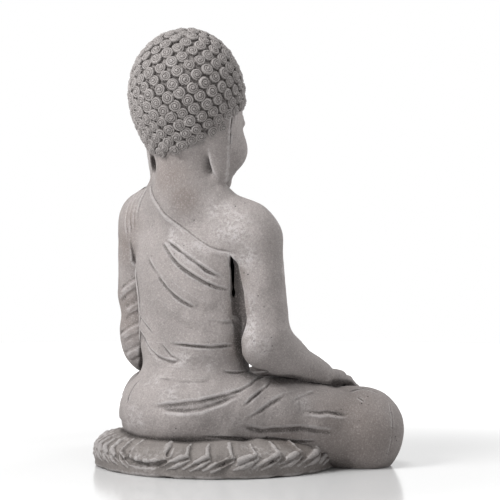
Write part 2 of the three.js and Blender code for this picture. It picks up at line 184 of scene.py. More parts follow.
# ======================================================================
# the figure's forms
# ======================================================================
SKULL = E([0, 2, 362], [50.5, 55, 59], 1)
HEAD = [
    SKULL, E([0, -14, 322], [41, 46, 52], 20), E([0, -26, 296], [27, 26, 27], 14),
    C([0, 4, 300], [0, 2, 262], 22, 24.5, 10),
    # face: cheeks, brow, eye hollows, lids, nose, mouth, chin
    E([22, -38, 307], [17, 15.5, 17], 12, m=1),
    E([0, -50, 292], [18, 9, 14], 10),
    E([0, -51, 275], [11, 8, 8.5], 8),
    E([17, -57.5, 324.5], [12.5, 6.5, 7.5], 7, '-', m=1),
    *chain([(5, -55.5, 331.5), (12, -55.6, 337), (22, -52.5, 339), (33, -44, 333.5)], [2.6, 2.8, 2.8, 2], 5, m=1),
    E([17.5, -45.6, 325], [11.5, 8.8, 7.8], 2.5, m=1, rot=[0, 0, 14]),
    *chain([(7.5, -52.2, 322.8), (13, -54.4, 320.9), (19, -54.2, 320.4), (27.5, -49.3, 323.6)], [.75, .9, .9, .6], 1.2, '-', m=1),
    *chain([(7.6, -53.4, 327.6), (13, -54.6, 330.6), (20, -53.2, 331), (28, -47.5, 326.8)], [.5, .6, .6, .4], 1.2, '-', m=1),
    C([0, -53.5, 334], [0, -63.5, 307.5], 3.3, 4.3, 6),
    E([0, -64, 305.5], [5.2, 5, 4.8], 4), E([5.6, -60, 304], [4.2, 5, 3.8], 2.5, m=1),
    E([3, -62.6, 300.6], [1.7, 2.6, 1.5], 1.2, '-', m=1),
    *chain([(11.5, -54.6, 291.2), (5.5, -59, 293.4), (1.8, -60.4, 294.2), (0, -60.4, 293.6)], [1.2, 2.1, 2.3, 2.1], 2.4, m=1),
    *chain([(9, -55.8, 288), (4, -59.2, 286.2), (0, -60, 285.8)], [1.4, 2.6, 3], 2.5, m=1),
    *chain([(13, -53.6, 291.6), (7, -58.6, 290), (2.5, -61.6, 290.4), (0, -61.8, 289.6)], [.7, .85, .9, .9], 1.1, '-', m=1),
    C([0, -60.6, 299.5], [0, -62.4, 295.6], 1.0, 1.5, 1.5, '-'),
    E([0, -53.8, 341.5], [2.2, 1.8, 2.2], 1),
    # faint neck creases at the front
    *chain([(-22, -22, 274), (0, -30.5, 271), (22, -22, 274)], 1.1, 2.5, '-'),
]
EARS = [
    # a long ear set a little forward: a broad smooth band behind, its crisp edge, the cleft before it, the lobe
    E([42.2, 4.5, 316], [4.4, 11.5, 31], 6, m=1, rot=[0, 4, 24]),
    E([40.6, 0, 291], [4.4, 8.0, 12.5], 4, m=1, rot=[0, 4, 18]),
    *chain([(49.2, -4.5, 348), (49.2, -2.4, 340), (47.8, -1.6, 326), (46.2, -1.8, 311), (44.6, -2.2, 297), (42.8, -2.6, 285.5), (41.0, -4.0, 281)], [2.0, 2.2, 2.1, 2.0, 2.1, 2.6, 2.8], 1.8, m=1),
    *chain([(49.2, -4.5, 348), (48.0, -10, 348), (46.0, -14, 341), (44.6, -15, 334)], [2.0, 2.1, 2.0, 1.5], 1.8, m=1),
    *chain([(41.0, -4.0, 281), (40.4, -7.6, 285), (40.6, -9.6, 293), (41.0, -10.6, 302)], [2.8, 2.8, 2.4, 1.8], 2, m=1),
    *chain([(46.2, -8.2, 337), (45.6, -7.4, 324), (44.2, -7, 311), (42.8, -6.6, 298)], [2.4, 2.8, 2.4, 1.8], 1.6, '-', m=1),
    C([44.4, -10.6, 321], [44.0, -10.4, 315], 2.2, 2.0, 1.6, m=1),
]
TORSO = [
    E([0, -10, 188], [63.5, 43.5, 62], 1), E([0, -12, 126], [60, 43, 60], 24),
    C([50, -14, 232], [-50, -14, 232], 25, 25, 20),
    C([0, 0, 272], [42, -8, 246], 28, 20, 14, m=1),
    C([0, 3, 290], [0, 0, 250], 22, 27, 12),
    # chest and belly
    E([24, -42, 214], [26, 12, 20], 14, m=1), E([0, -40, 130], [36, 18, 26], 16),
]
RARM = [
    E([-66, -16, 228], [24, 25, 28], 1), C([-70.5, -18, 220], [-81, -20, 136], 23.5, 22, 14),
    E([-80, -15, 124], [20, 21, 21], 12), E([-86, -38, 112], [17, 20, 17], 14, rot=[-20, 0, 0]),
    C([-81.5, -20, 121], [-96, -82, 91], 20.5, 13.5, 12),
]
# right hand laid over the shin, fingers drooping in front of it
HANDR = [
    B([-90, -105, 87.2], [13.8, 21, 7.2], 7, 8, rot=[10, 0, 7]),
    E([-81, -97, 86], [8, 14, 7], 6, rot=[12, 0, -10]), C([-89, -84, 82], [-87, -112, 78], 10, 8, 8),
]
for x0, x1, zt in ((-97, -94.5, 46), (-89.8, -87.8, 38), (-82.6, -81, 35.5), (-75.6, -74.6, 42)):
    HANDR += chain([(x0 + 1, -117, 84.6), (x0 + .6, -130.5, 81), ((x0 + x1) / 2, -144, 71.5), (x1, -152.6, 57.5), (x1, -154.2, zt)], [5.5, 5.2, 4.7, 4.2, 3.5], 1.6)
HANDR += chain([(-78.5, -96, 85), (-71.5, -108, 83), (-67.5, -120, 79.5), (-66.5, -131, 75)], [6.6, 5.6, 5.0, 4.0], 2.6)
LARM = [
    # cloth heaped over the left shoulder
    C([34, -8, 256], [64, -14, 242], 22, 23, 12), C([68, -14, 236], [78, -18, 168], 21, 17.5, 14),
    E([66, -16, 228], [24, 25, 28], 1), C([68.5, -18, 220], [73, -20, 134], 21, 21, 14),
    E([73, -22, 116], [21, 23, 25], 14), C([71, -28, 110], [38, -74, 92], 21, 17, 12),
    # loose sleeve hanging under the forearm
    E([60, -50, 96], [24, 17, 15], 14, rot=[0, 0, -40]),
]
# left hand, palm up in the lap
HANDL = [
    C([40, -72, 90], [20, -88, 82], 12, 10.5, 8),
    B([3, -95, 80.5], [21, 15.5, 6.2], 6, 8, rot=[6, 0, 8]),
]
for y0, y1, L in ((-84.5, -82, -38), (-92, -91, -43), (-99.6, -100.4, -41), (-106.6, -108.6, -33)):
    HANDL += chain([(-8, y0, 81), (-20, (y0 + y1) / 2, 82.5), (L + 9, y1, 84.5), (L, y1 + .5, 87)], [5.4, 5, 4.6, 3.8], 1.5)
HANDL += chain([(16, -104, 82), (4, -112, 85.5), (-9, -113.5, 89), (-17, -111.5, 91)], [6.4, 5.6, 4.9, 3.9], 2.4)
HANDL += [E([1, -94, 88.5], [15, 8, 4], 4, '-', rot=[0, 0, 6])]
LEGS = [
    E([0, -2, 56], [72, 61, 48], 1), C([38, -10, 42], [121, -116, 37], 38, 36.5, 14, m=1),
    E([123.5, -121, 37], [38.5, 38.5, 36], 8, m=1), C([122, -120, 22], [100, -112, 22], 35, 30, 10, m=1),
    B([0, -84, 32], [84, 44, 32], 24, 20),
    C([-116, -120, 42], [24, -114, 60], 31, 22, 14),
    C([56, -20, 59], [94, -70, 52], 32, 30, 14, m=1), C([82, -42, 63], [92, -86, 54], 25, 22, 12, m=1), B([0, -70, 64], [78, 42, 16], 14, 16),
    C([118, -126, 34], [-30, -130, 30], 33, 24, 12),
    # right foot on the left thigh, sole turned up
    C([22, -118, 70], [62, -106, 79], 15.5, 14, 8),
    B([60, -106, 81.5], [30, 15, 8], 7, 6, rot=[8, -7, 14]),
    E([34, -113, 78], [15, 15, 11.5], 6),
]
for i, (y, l, r) in enumerate(((-112, 104, 6.2), (-103.8, 104, 4.7), (-97.4, 102, 4.5), (-91.6, 99.5, 4.2), (-86.2, 96, 4.0))):
    LEGS += chain([(84, y + 1.0, 83.5), (l - 8, y + 3, 84.5), (l, y + 5.5, 83)], [r, r * .95, r * .92], 1.6)
def rim(phi, r, z): a = math.radians(phi); return (1.04 * r * math.cos(a), -42 + r * math.sin(a), z)
BASE = [dict(t='k', c=[0, -42], r=115.3, z=[0, 13.5], rd=3, k=1, op='+', m=0), dict(t='k', c=[0, -42], r=112.8, z=[0, 24.5], rd=8, k=2, op='+', m=0),
        dict(t='k', c=[0, -42], r=107.5, z=[6, 28.6], rd=8, k=5, op='+', m=0), dict(t='k', c=[0, -42], r=101.5, z=[10, 31.4], rd=8, k=5, op='+', m=0), dict(t='k', c=[0, -42], r=96, z=[10, 33], rd=8, k=4, op='+', m=0)]
# pleats of the cloth: where each one ends round the rim, on either side of the broad one at the back
SEP_R = [105.4, 116.5, 126.1, 137.1, 148.7, 160.6, 173.9, 187.6, 201, 214, 227, 240, 253]
SEP_L = [83, 75.2, 67.6, 60, 52.4, 44.6, 36.4, 28, 19, 9.5, -1, -12, -24, -36, -48, -60, -72]
rb = np.random.RandomState(11)
ADD, SUB = [], []
for seps, sg in ((SEP_R, 1), (SEP_L, -1)):
    for n, f in enumerate(seps):
        step = abs(f - (seps[n - 1] if n else f - sg * 11)); w = (step / 11.5) ** .5
        jz = rb.uniform(-1, 1); L_ = step * (1.32 + .12 * rb.uniform(-1, 1))
        if n:
            T_ = (0, .28, .62, 1)
            ADD += chain([rim(f - sg * t * L_, r, z + jz) for t, r, z in zip(T_, (111.6, 113.8, 115.0, 114.6), (22.2, 19.8, 15.6, 10.8))], [2.4 * w, 2.7 * w, 2.5 * w, 1.6], 1.6)
            ADD += chain([rim(f - sg * t * L_, r, z + jz) for t, r, z in zip((.05, .26, .5, .76), (113.2, 115.2, 115.6, 115), (17.2, 14.4, 11.4, 8.4))], [1.7, 2.0, 1.7, 1.1], 1.2)
            SUB += [(c, .8) for c in chain([rim(f - sg * t * L_, r, z + jz) for t, r, z in zip((.08, .3, .64, .98), (115.4, 117.6, 118.2, 117.4), (19.2, 16.9, 13.0, 8.6))], [1.6, 2.1, 2.0, 1.3], .8, '-')]
            SUB += [(c, .8) for c in chain([rim(f - sg * t * L_, r, z + jz) for t, r, z in zip((-.07, -.02, .2, .45), (111.5, 115.5, 117.5, 118), (23.6, 17.5, 12.6, 9.0))], [1.4, 2.0, 2.0, 1.3], .8, '-')]
        SUB += [(c, .8) for c in chain([rim(f + sg * 1.6, 95, 33.2), rim(f + sg * 1.0, 101.5, 30.8), rim(f + sg * .5, 107.5, 27.6), rim(f + sg * .1, 113.5, 22.6)], [1.1, 1.5, 1.8, 2.2], .8, '-')]
        ADD += chain([rim(f - sg * 1.8, 98, 31.4), rim(f - sg * 2.2, 105, 28.4), rim(f - sg * 2.0, 111.5, 23.8)], [.7, 1.0, 1.4], 3)
# the broad pleat
ADD += chain([rim(f, r, z) for f, r, z in ((83.2, 111.4, 21.6), (85, 113.2, 17.6), (89, 114.2, 16.2), (94, 114.4, 15.8), (99.5, 114.2, 16.6), (104, 113.2, 18.6), (105.6, 112, 21.6))], [2.6, 3.0, 3.1, 3.2, 3.1, 2.9, 2.4], 2.5)
ADD += chain([rim(f, r, z) for f, r, z in ((85, 107, 22), (94, 107.4, 21.4), (103, 107, 22.4))], [6.2, 6.6, 6.0], 5)
SUB += [(c, .8) for c in chain([rim(f, 115.2 + rb.uniform(-.5, .5), z + rb.uniform(-.5, .5)) for f, z in ((81.4, 22.5), (82.4, 16.0), (84.4, 12.2), (88, 11.4), (91, 10.9), (94.5, 11.1), (98, 11.9), (101.4, 13.2), (104.4, 15.8))], [1.8, 2.2, 2.5, 2.2, 2.6, 2.2, 2.5, 2.2, 1.6], .8, '-')]
BASE += ADD + [c for c, _ in SUB]

soft = lambda z: (lambda t: 3 + 13 * t * t * (3 - 2 * t))(np.clip((z - 195) / 40, 0, 1))
gT, gRA, gLA, gH, gL = Grp(TORSO), Grp(RARM + HANDR), Grp(LARM + HANDL), Grp(HEAD + EARS), Grp(LEGS)
gBase = Grp(BASE)
# the deep clefts between the arms and the trunk
CLEFT = chain([(-56.5, 5, 214), (-59.8, 2, 199), (-63, .5, 172), (-65, -1.5, 146), (-66.8, -5, 122), (-66.2, -11, 104)], [2.0, 4.6, 6.6, 7.5, 7.2, 5.8], 2.5) + [C([-80, -15, 97], [-34, -75, 95.0], 4.4, 6.2, 2)] \
    + chain([(-51, -7, 203), (-52, -12, 186), (-55, -15, 160), (-57, -17, 135), (-59, -19, 108)], [1.8, 3.0, 3.6, 3.8, 3.8], 3) \
    + chain([(59, -2, 190), (61, -8, 165), (61.5, -12, 140), (61.5, -15, 112)], [1.2, 2.2, 2.6, 2.6], 2)
gV = Grp(CLEFT)
gHs = Grp(HEAD[:5] + EARS[:3] + [E([0, 2, 362], [54.5, 59, 63], 1)])
NECK_Z, NECK_S, WAIST_Z, ARM_X = 268.0, 0.25, 93.0, 57.0
neck = lambda y, z: (z - NECK_Z - NECK_S * y) / math.hypot(1, NECK_S)

# ======================================================================
# mesh helpers
# ======================================================================
def vnormals(V, Q):
    a, b, c, d = (V[Q[:, i]] for i in range(4))
    n = np.cross(c - a, d - b)
    N = np.zeros_like(V)
    for i in range(4):
        for j in range(3): N[:, j] += np.bincount(Q[:, i], n[:, j], len(V))
    return N / (np.linalg.norm(N, axis=1, keepdims=True) + 1e-12)
def edges_of(Q):
    e = np.concatenate([Q[:, [0, 1]], Q[:, [1, 2]], Q[:, [2, 3]], Q[:, [3, 0]]])
    e.sort(axis=1)
    return np.unique(e, axis=0)
class Smoother:
    def __init__(s, n, e):
        s.e = e; s.n = n; s.deg = np.bincount(e.ravel(), minlength=n).astype(float) + 1e-9
    def __call__(s, x, it=1):
        x = np.asarray(x, float); one = x.ndim == 1
        if one: x = x[:, None]
        for _ in range(it):
            y = np.empty_like(x)
            for j in range(x.shape[1]):
                y[:, j] = np.bincount(s.e[:, 0], x[s.e[:, 1], j], s.n) + np.bincount(s.e[:, 1], x[s.e[:, 0], j], s.n)
            x = .5 * x + .5 * y / s.deg[:, None]
        return x[:, 0] if one else x
def to_mesh(name, V, Q, attrs=None):
    me = bpy.data.meshes.new(name)
    P = V.copy(); P[:, 1] += FY; P *= 0.001
    me.vertices.add(len(P)); me.vertices.foreach_set('co', P.astype(np.float32).ravel())
    me.loops.add(Q.size); me.loops.foreach_set('vertex_index', Q.ravel().astype(np.int32))
    me.polygons.add(len(Q)); me.polygons.foreach_set('loop_start', np.arange(0, Q.size, Q.shape[1], dtype=np.int32))
    me.polygons.foreach_set('use_smooth', np.ones(len(Q), bool))
    me.update(); me.validate()
    for k, v in (attrs or {}).items():
        a = me.attributes.new(k, 'FLOAT', 'POINT'); a.data.foreach_set('value', np.asarray(v, np.float32))
    ob = bpy.data.objects.new(name, me); bpy.context.scene.collection.objects.link(ob)
    return ob
def slice_off(ob, point, normal, zmin=None):
    """cuts away what lies beyond a plane (mm, figure frame) and closes the cut with a flat face"""
    co = Vector((point[0], point[1] + FY, point[2])) * 0.001; no = Vector(normal).normalized()
    bm = bmesh.new(); bm.from_mesh(ob.data)
    fs = [f for f in bm.faces if zmin is None or f.calc_center_median().z > zmin * .001]
    es = set(); vs = set()
    for f in fs: es.update(f.edges); vs.update(f.verts)
    bmesh.ops.bisect_plane(bm, geom=list(vs) + list(es) + fs, plane_co=co, plane_no=no, dist=1e-7)
    kill = [v for v in bm.verts if (v.co - co).dot(no) > 2e-7 and (zmin is None or v.co.z > zmin * .001)]
    bmesh.ops.delete(bm, geom=kill, context='VERTS')
    b = [e for e in bm.edges if e.is_boundary]
    if b:
        r = bmesh.ops.holes_fill(bm, edges=b, sides=0)
        for f in r['faces']: f.smooth = False
        for f in r['faces']:
            for e in f.edges: e.smooth = False
        bmesh.ops.triangulate(bm, faces=r['faces'])
    bm.to_mesh(ob.data); bm.free(); ob.data.update()
def keep_largest(V, Q, least=0.02):
    """drops small loose scraps"""
    n = len(V); lab = np.arange(n)
    e = edges_of(Q)
    while True:
        m = np.minimum(lab[e[:, 0]], lab[e[:, 1]])
        new = lab.copy(); np.minimum.at(new, e[:, 0], m); np.minimum.at(new, e[:, 1], m)
        new = new[new]
        if (new == lab).all(): break
        lab = new
    cnt = np.bincount(lab, minlength=n); ok = cnt[lab] > least * cnt.max()
    idx = np.cumsum(ok) - 1
    keepq = ok[Q[:, 0]]
    return V[ok], idx[Q[keepq]]

# ======================================================================
# folds: lines on the surface that press a crease and lift a rounded lip beside it
# ======================================================================
def fold_disp(V, N, line, w, lip, deep, side=1, ends=(1, 1), crease=1.3, back=0.0):
    """signed height along the normal. w lip width, lip its height, deep the crease depth"""
    L = np.asarray(line, float); out = np.zeros(len(V))
    lo, hi = L.min(0) - 4 * w, L.max(0) + 4 * w
    idx = np.where(((V > lo) & (V < hi)).all(1))[0]
    if not len(idx): return out
    P = V[idx]; seg = np.linalg.norm(np.diff(L, axis=0), axis=1); S = np.concatenate([[0], np.cumsum(seg)]); tot = S[-1]
    best = np.full(len(P), 1e9); bs = np.zeros(len(P)); bt = np.zeros((len(P), 3)); bd = np.zeros((len(P), 3))
    for i in range(len(L) - 1):
        d = L[i + 1] - L[i]; l2 = (d * d).sum() + 1e-9
        s = np.clip(((P - L[i]) @ d) / l2, 0, 1); q = P - L[i] - s[:, None] * d
        dist = np.sqrt((q * q).sum(1)); m = dist < best
        best[m] = dist[m]; bs[m] = (S[i] + s * seg[i])[m]; bt[m] = d / math.sqrt(l2); bd[m] = q[m]
    Nn = N[idx]
    sd = np.einsum('ij,ij->i', np.cross(bt, Nn), bd) * side
    e0 = np.clip(bs / (tot * .28 + 1e-9), 0, 1) if ends[0] else 1.0
    e1 = np.clip((tot - bs) / (tot * .28 + 1e-9), 0, 1) if ends[1] else 1.0
    env = np.sin(np.pi / 2 * np.clip(e0, 0, 1)) * np.sin(np.pi / 2 * np.clip(e1, 0, 1))
    off = np.sqrt(np.maximum(best ** 2 - sd ** 2, 0))
    env = env * np.exp(-(off / (3.0 + .25 * w)) ** 2)
    wob = 1 + .22 * np.sin(bs / 7.0 + L[0, 0]) + .15 * np.sin(bs / 3.1 + L[0, 2])
    c = crease * .8
    h = -deep * wob * np.exp(-(sd / c) ** 2) - .22 * deep * np.exp(-np.abs(sd + 1.5 * c) / (3.2 * c)) * (sd < 0)
    u = np.maximum(sd, 0) / (w * 1.5)
    h += lip * wob * np.where(sd > 0, (1 - np.exp(-(sd / (.9 * c)) ** 2)) * np.exp(-1.6 * u ** 1.4), 0)
    out[idx] = h * env
    return out

# ======================================================================
# building the castings
# ======================================================================
class Cut:
    """the whole figure's surface, kept only inside one piece's region (negative inside)"""
    def __init__(s, region): s.g = [gT, gL, gRA, gLA, gH, gBase, gV]; s.region = region
    def mix(s, x, y, z, T, L, RA, LA, Hd, K, W):
        b = smin(smin(T, L, 20), np.minimum(RA, LA), soft(z))
        b = -smin(-smin(b, Hd, 10), W, 2.5)
        TL = np.minimum(T, L)
        aR, aL = (RA - TL) * .5, (LA - TL) * .5
        return np.maximum(b, s.region(x, y, z, aR, aL, K))
    def full(s, X, Y, Z): return s.mix(X, Y, Z, *[g.full(X, Y, Z) for g in s.g])
    def coarse(s, X, Y, Z):
        f = [g.coarse(X, Y, Z) for g in s.g]; s.low = np.minimum.reduce(f[:5]); s.D = s.mix(X, Y, Z, *f); return s.D
    def fine(s, x, y, z, i, R):
        f = [g.fine(x, y, z, i, R) if n >= 5 or g.D[i] < s.low[i] + 2 * R + 30 else BIG for n, g in enumerate(s.g)]
        return s.mix(x, y, z, *f)
mx, mn = np.maximum, np.minimum
SIMPLE = Grp([PLAIN_TOP for PLAIN_TOP in BASE[:5]])
OV = 13.0              # how far each piece runs past its flat joint before it is cut
class Everything(Cut):
    def __init__(s): Cut.__init__(s, lambda x, y, z, aR, aL, K: -1e3 + 0 * x); s.g = [gT, gL, gRA, gLA, gHs, SIMPLE, gV]
ALL = Everything()
r_torso = lambda x, y, z, aR, aL, K: mx(mx(WAIST_Z - OV - z, neck(y, z) - OV), np.where(z < 140, mx(-aR + .1, -aL + .1), np.abs(x) - ARM_X - OV))
r_head = lambda x, y, z, aR, aL, K: -neck(y, z) - OV
r_legs = lambda x, y, z, aR, aL, K: mx(mx(z - WAIST_Z - OV, -z + 0 * x), mx(mx(-aR + .1, -aL + .1), -K - 3.0))
r_rarm = lambda x, y, z, aR, aL, K: np.where(z < 140, aR + .1, x + ARM_X - OV)
r_larm = lambda x, y, z, aR, aL, K: np.where(z < 140, aL + .1, -x + ARM_X - OV)
def waves(V, size, seed, n=24):
    """smooth unevenness of about unit height, bumps about size mm apart"""
    g = np.random.RandomState(seed); k = g.normal(0, 1, (n, 3)); k *= (2 * math.pi / size) * g.uniform(.6, 1.5, (n, 1)) / np.linalg.norm(k, axis=1, keepdims=True)
    ph = g.uniform(0, 2 * math.pi, n); out = np.zeros(len(V))
    for i in range(n): out += np.sin(V @ k[i] + ph[i])
    return out / math.sqrt(n / 2)
# upper edge of the robe: height above ground over the back and over the front
BACK_X = [-68, -50, -42, -32, -22, -13, -5, 4, 10.5, 16.5, 24, 34]; BACK_Z = [210, 212.5, 215.5, 221.5, 227.5, 233.3, 239, 245.8, 252.4, 257.7, 266, 284]
FRONT_X = [-64, -52, -30, 0, 28, 40]; FRONT_Z = [168, 176, 200, 232, 263, 280]
def robe_edge(V):
    x, y = V[:, 0], V[:, 1]
    t = np.clip((y + 34) / 46, 0, 1); t = t * t * (3 - 2 * t)
    return np.interp(x, FRONT_X, FRONT_Z) * (1 - t) + np.interp(x, BACK_X, BACK_Z) * t
def robe_layer(V):
    d = robe_edge(V) - V[:, 2]                      # > 0 under the cloth
    up = np.clip(d / 1.5 + .5, 0, 1); up = up * up * (3 - 2 * up)
    low = np.clip((V[:, 2] - 92) / 34, 0, 1); low = low * low * (3 - 2 * low)
    return 1.0 * up * low + .7 * np.exp(-((d - 3.2) / 2.4) ** 2) - .45 * np.exp(-((d + 1.0) / 1.0) ** 2)
def whole(x, y, z):
    return mn(ALL.full(x, y, z), SIMPLE.full(x, y, z))
# how closed in each point is, probed along its normal; it feeds painted shade (ambient occlusion) in the stone colour
def shelter(V, N):
    out = np.zeros(len(V))
    for d, wt_ in ((5., .25), (12., .35), (26., .4)):
        P = V + N * d
        f = np.concatenate([whole(*(P[i:i + 20000].astype(np.float32).T)) for i in range(0, len(P), 20000)])
        out += wt_ * np.clip(1 - f / (.86 * d), 0, 1)
    return out
def blob(V, items):
    out = np.zeros(len(V))
    for x, y, z, r in items: out = np.maximum(out, np.exp(-((V - (x, y, z)) ** 2).sum(1) / (r * r)))
    return out
PALE = [(-62, 10, 234, 20), (-52, 16, 250, 14), (-72, 6, 210, 15), (-86, 0, 126, 13), (-42, 25, 106, 11), (-20, 33, 108, 10), (-69, 16, 81, 10), (-28, 24, 211, 14), (-8, 28, 226, 12), (-105, -42, 66, 10), (-76, 6, 160, 13),
        (-80, 4, 140, 12), (20, 54, 50, 16), (-20, 56, 76, 12), (60, 30, 50, 14), (70, -34, 235, 16), (0, -56, 150, 18), (100, -140, 60, 20), (-30, -146, 60, 18), (0, -34, 232, 16)]
PITS = [(-152, -120, 60, 16), (-156, -118, 44, 16), (-156, -116, 28, 16), (-150, -112, 12, 14), (-138, -100, 62, 12), (-130, -78, 50, 12), (-86, 0, 130, 16), (-84, 3, 160, 16), (-76, 5, 190, 12), (-12, 28, 215, 10), (-40, 20, 180, 10),
        (20, 60, 60, 8), (152, -120, 46, 20), (70, 6, 170, 14)]
# darker spots: painted shadow at the back of the neck under the head and on the trunk beside the right arm; the rest
# darken the left side, lap, legs and base
STAIN_AND_SHADE = [(-126, -90, 36, 58), (-92, -36, 28, 34), (0, 24, 284, 26), (-16, 26, 262, 18), (-66, 2, 158, 14), (-66, 2, 190, 12), (-62, -4, 120, 16), (0, 30, 40, 24), (120, -80, 30, 50), (0, -150, 24, 50), (78, 2, 150, 36), (74, 0, 216, 28), (58, 8, 240, 18)]
def finish_piece(name, V, Q, folds, cav_it=(3, 14, 60), robe=False, rough=1.0):
    """presses the folds in, measures hollows and sheltered places for painted shade, returns the object"""
    N = vnormals(V, Q); e = edges_of(Q); sm = Smoother(len(V), e)
    N = sm(N, 3); N /= np.linalg.norm(N, axis=1, keepdims=True) + 1e-12
    D = np.zeros(len(V))
    for f in folds: D += f(V, N)
    DF = D.copy()
    if robe: D += robe_layer(V) * (np.clip((V[:, 0] + 69) / 7, 0, 1) if robe == 'edge' else 1)
    if rough: D += rough * (.22 * waves(V, 38, 3) + .045 * waves(V, 15, 5) + .012 * waves(V, 6, 7))
    V = V + N * D[:, None]
    V = V + .35 * (sm(V, 1) - V)
    N = vnormals(V, Q)
    at = {}
    X = V.copy(); done = 0
    for key, it in zip(('cav1', 'cav2', 'cav3'), cav_it):
        X = sm(X, it - done); done = it
        at[key] = np.einsum('ij,ij->i', X - V, N)
    # cav1-3, shelter, crease and cleft are masks for painted shade in the stone colour
    at['crease'] = np.clip(-DF / 1.1, 0, 1); at['shelter'] = sm(shelter(V, N), 2); at['pale'] = blob(V, PALE); at['pits'] = blob(V, PITS); at['stain'] = blob(V, STAIN_AND_SHADE); at['cleft'] = np.clip(1 - gV.full(*V.astype(np.float32).T) / 2.6, 0, 1)
    ob = to_mesh(name, V, Q, at)
    say(name, len(V), len(Q))
    return ob

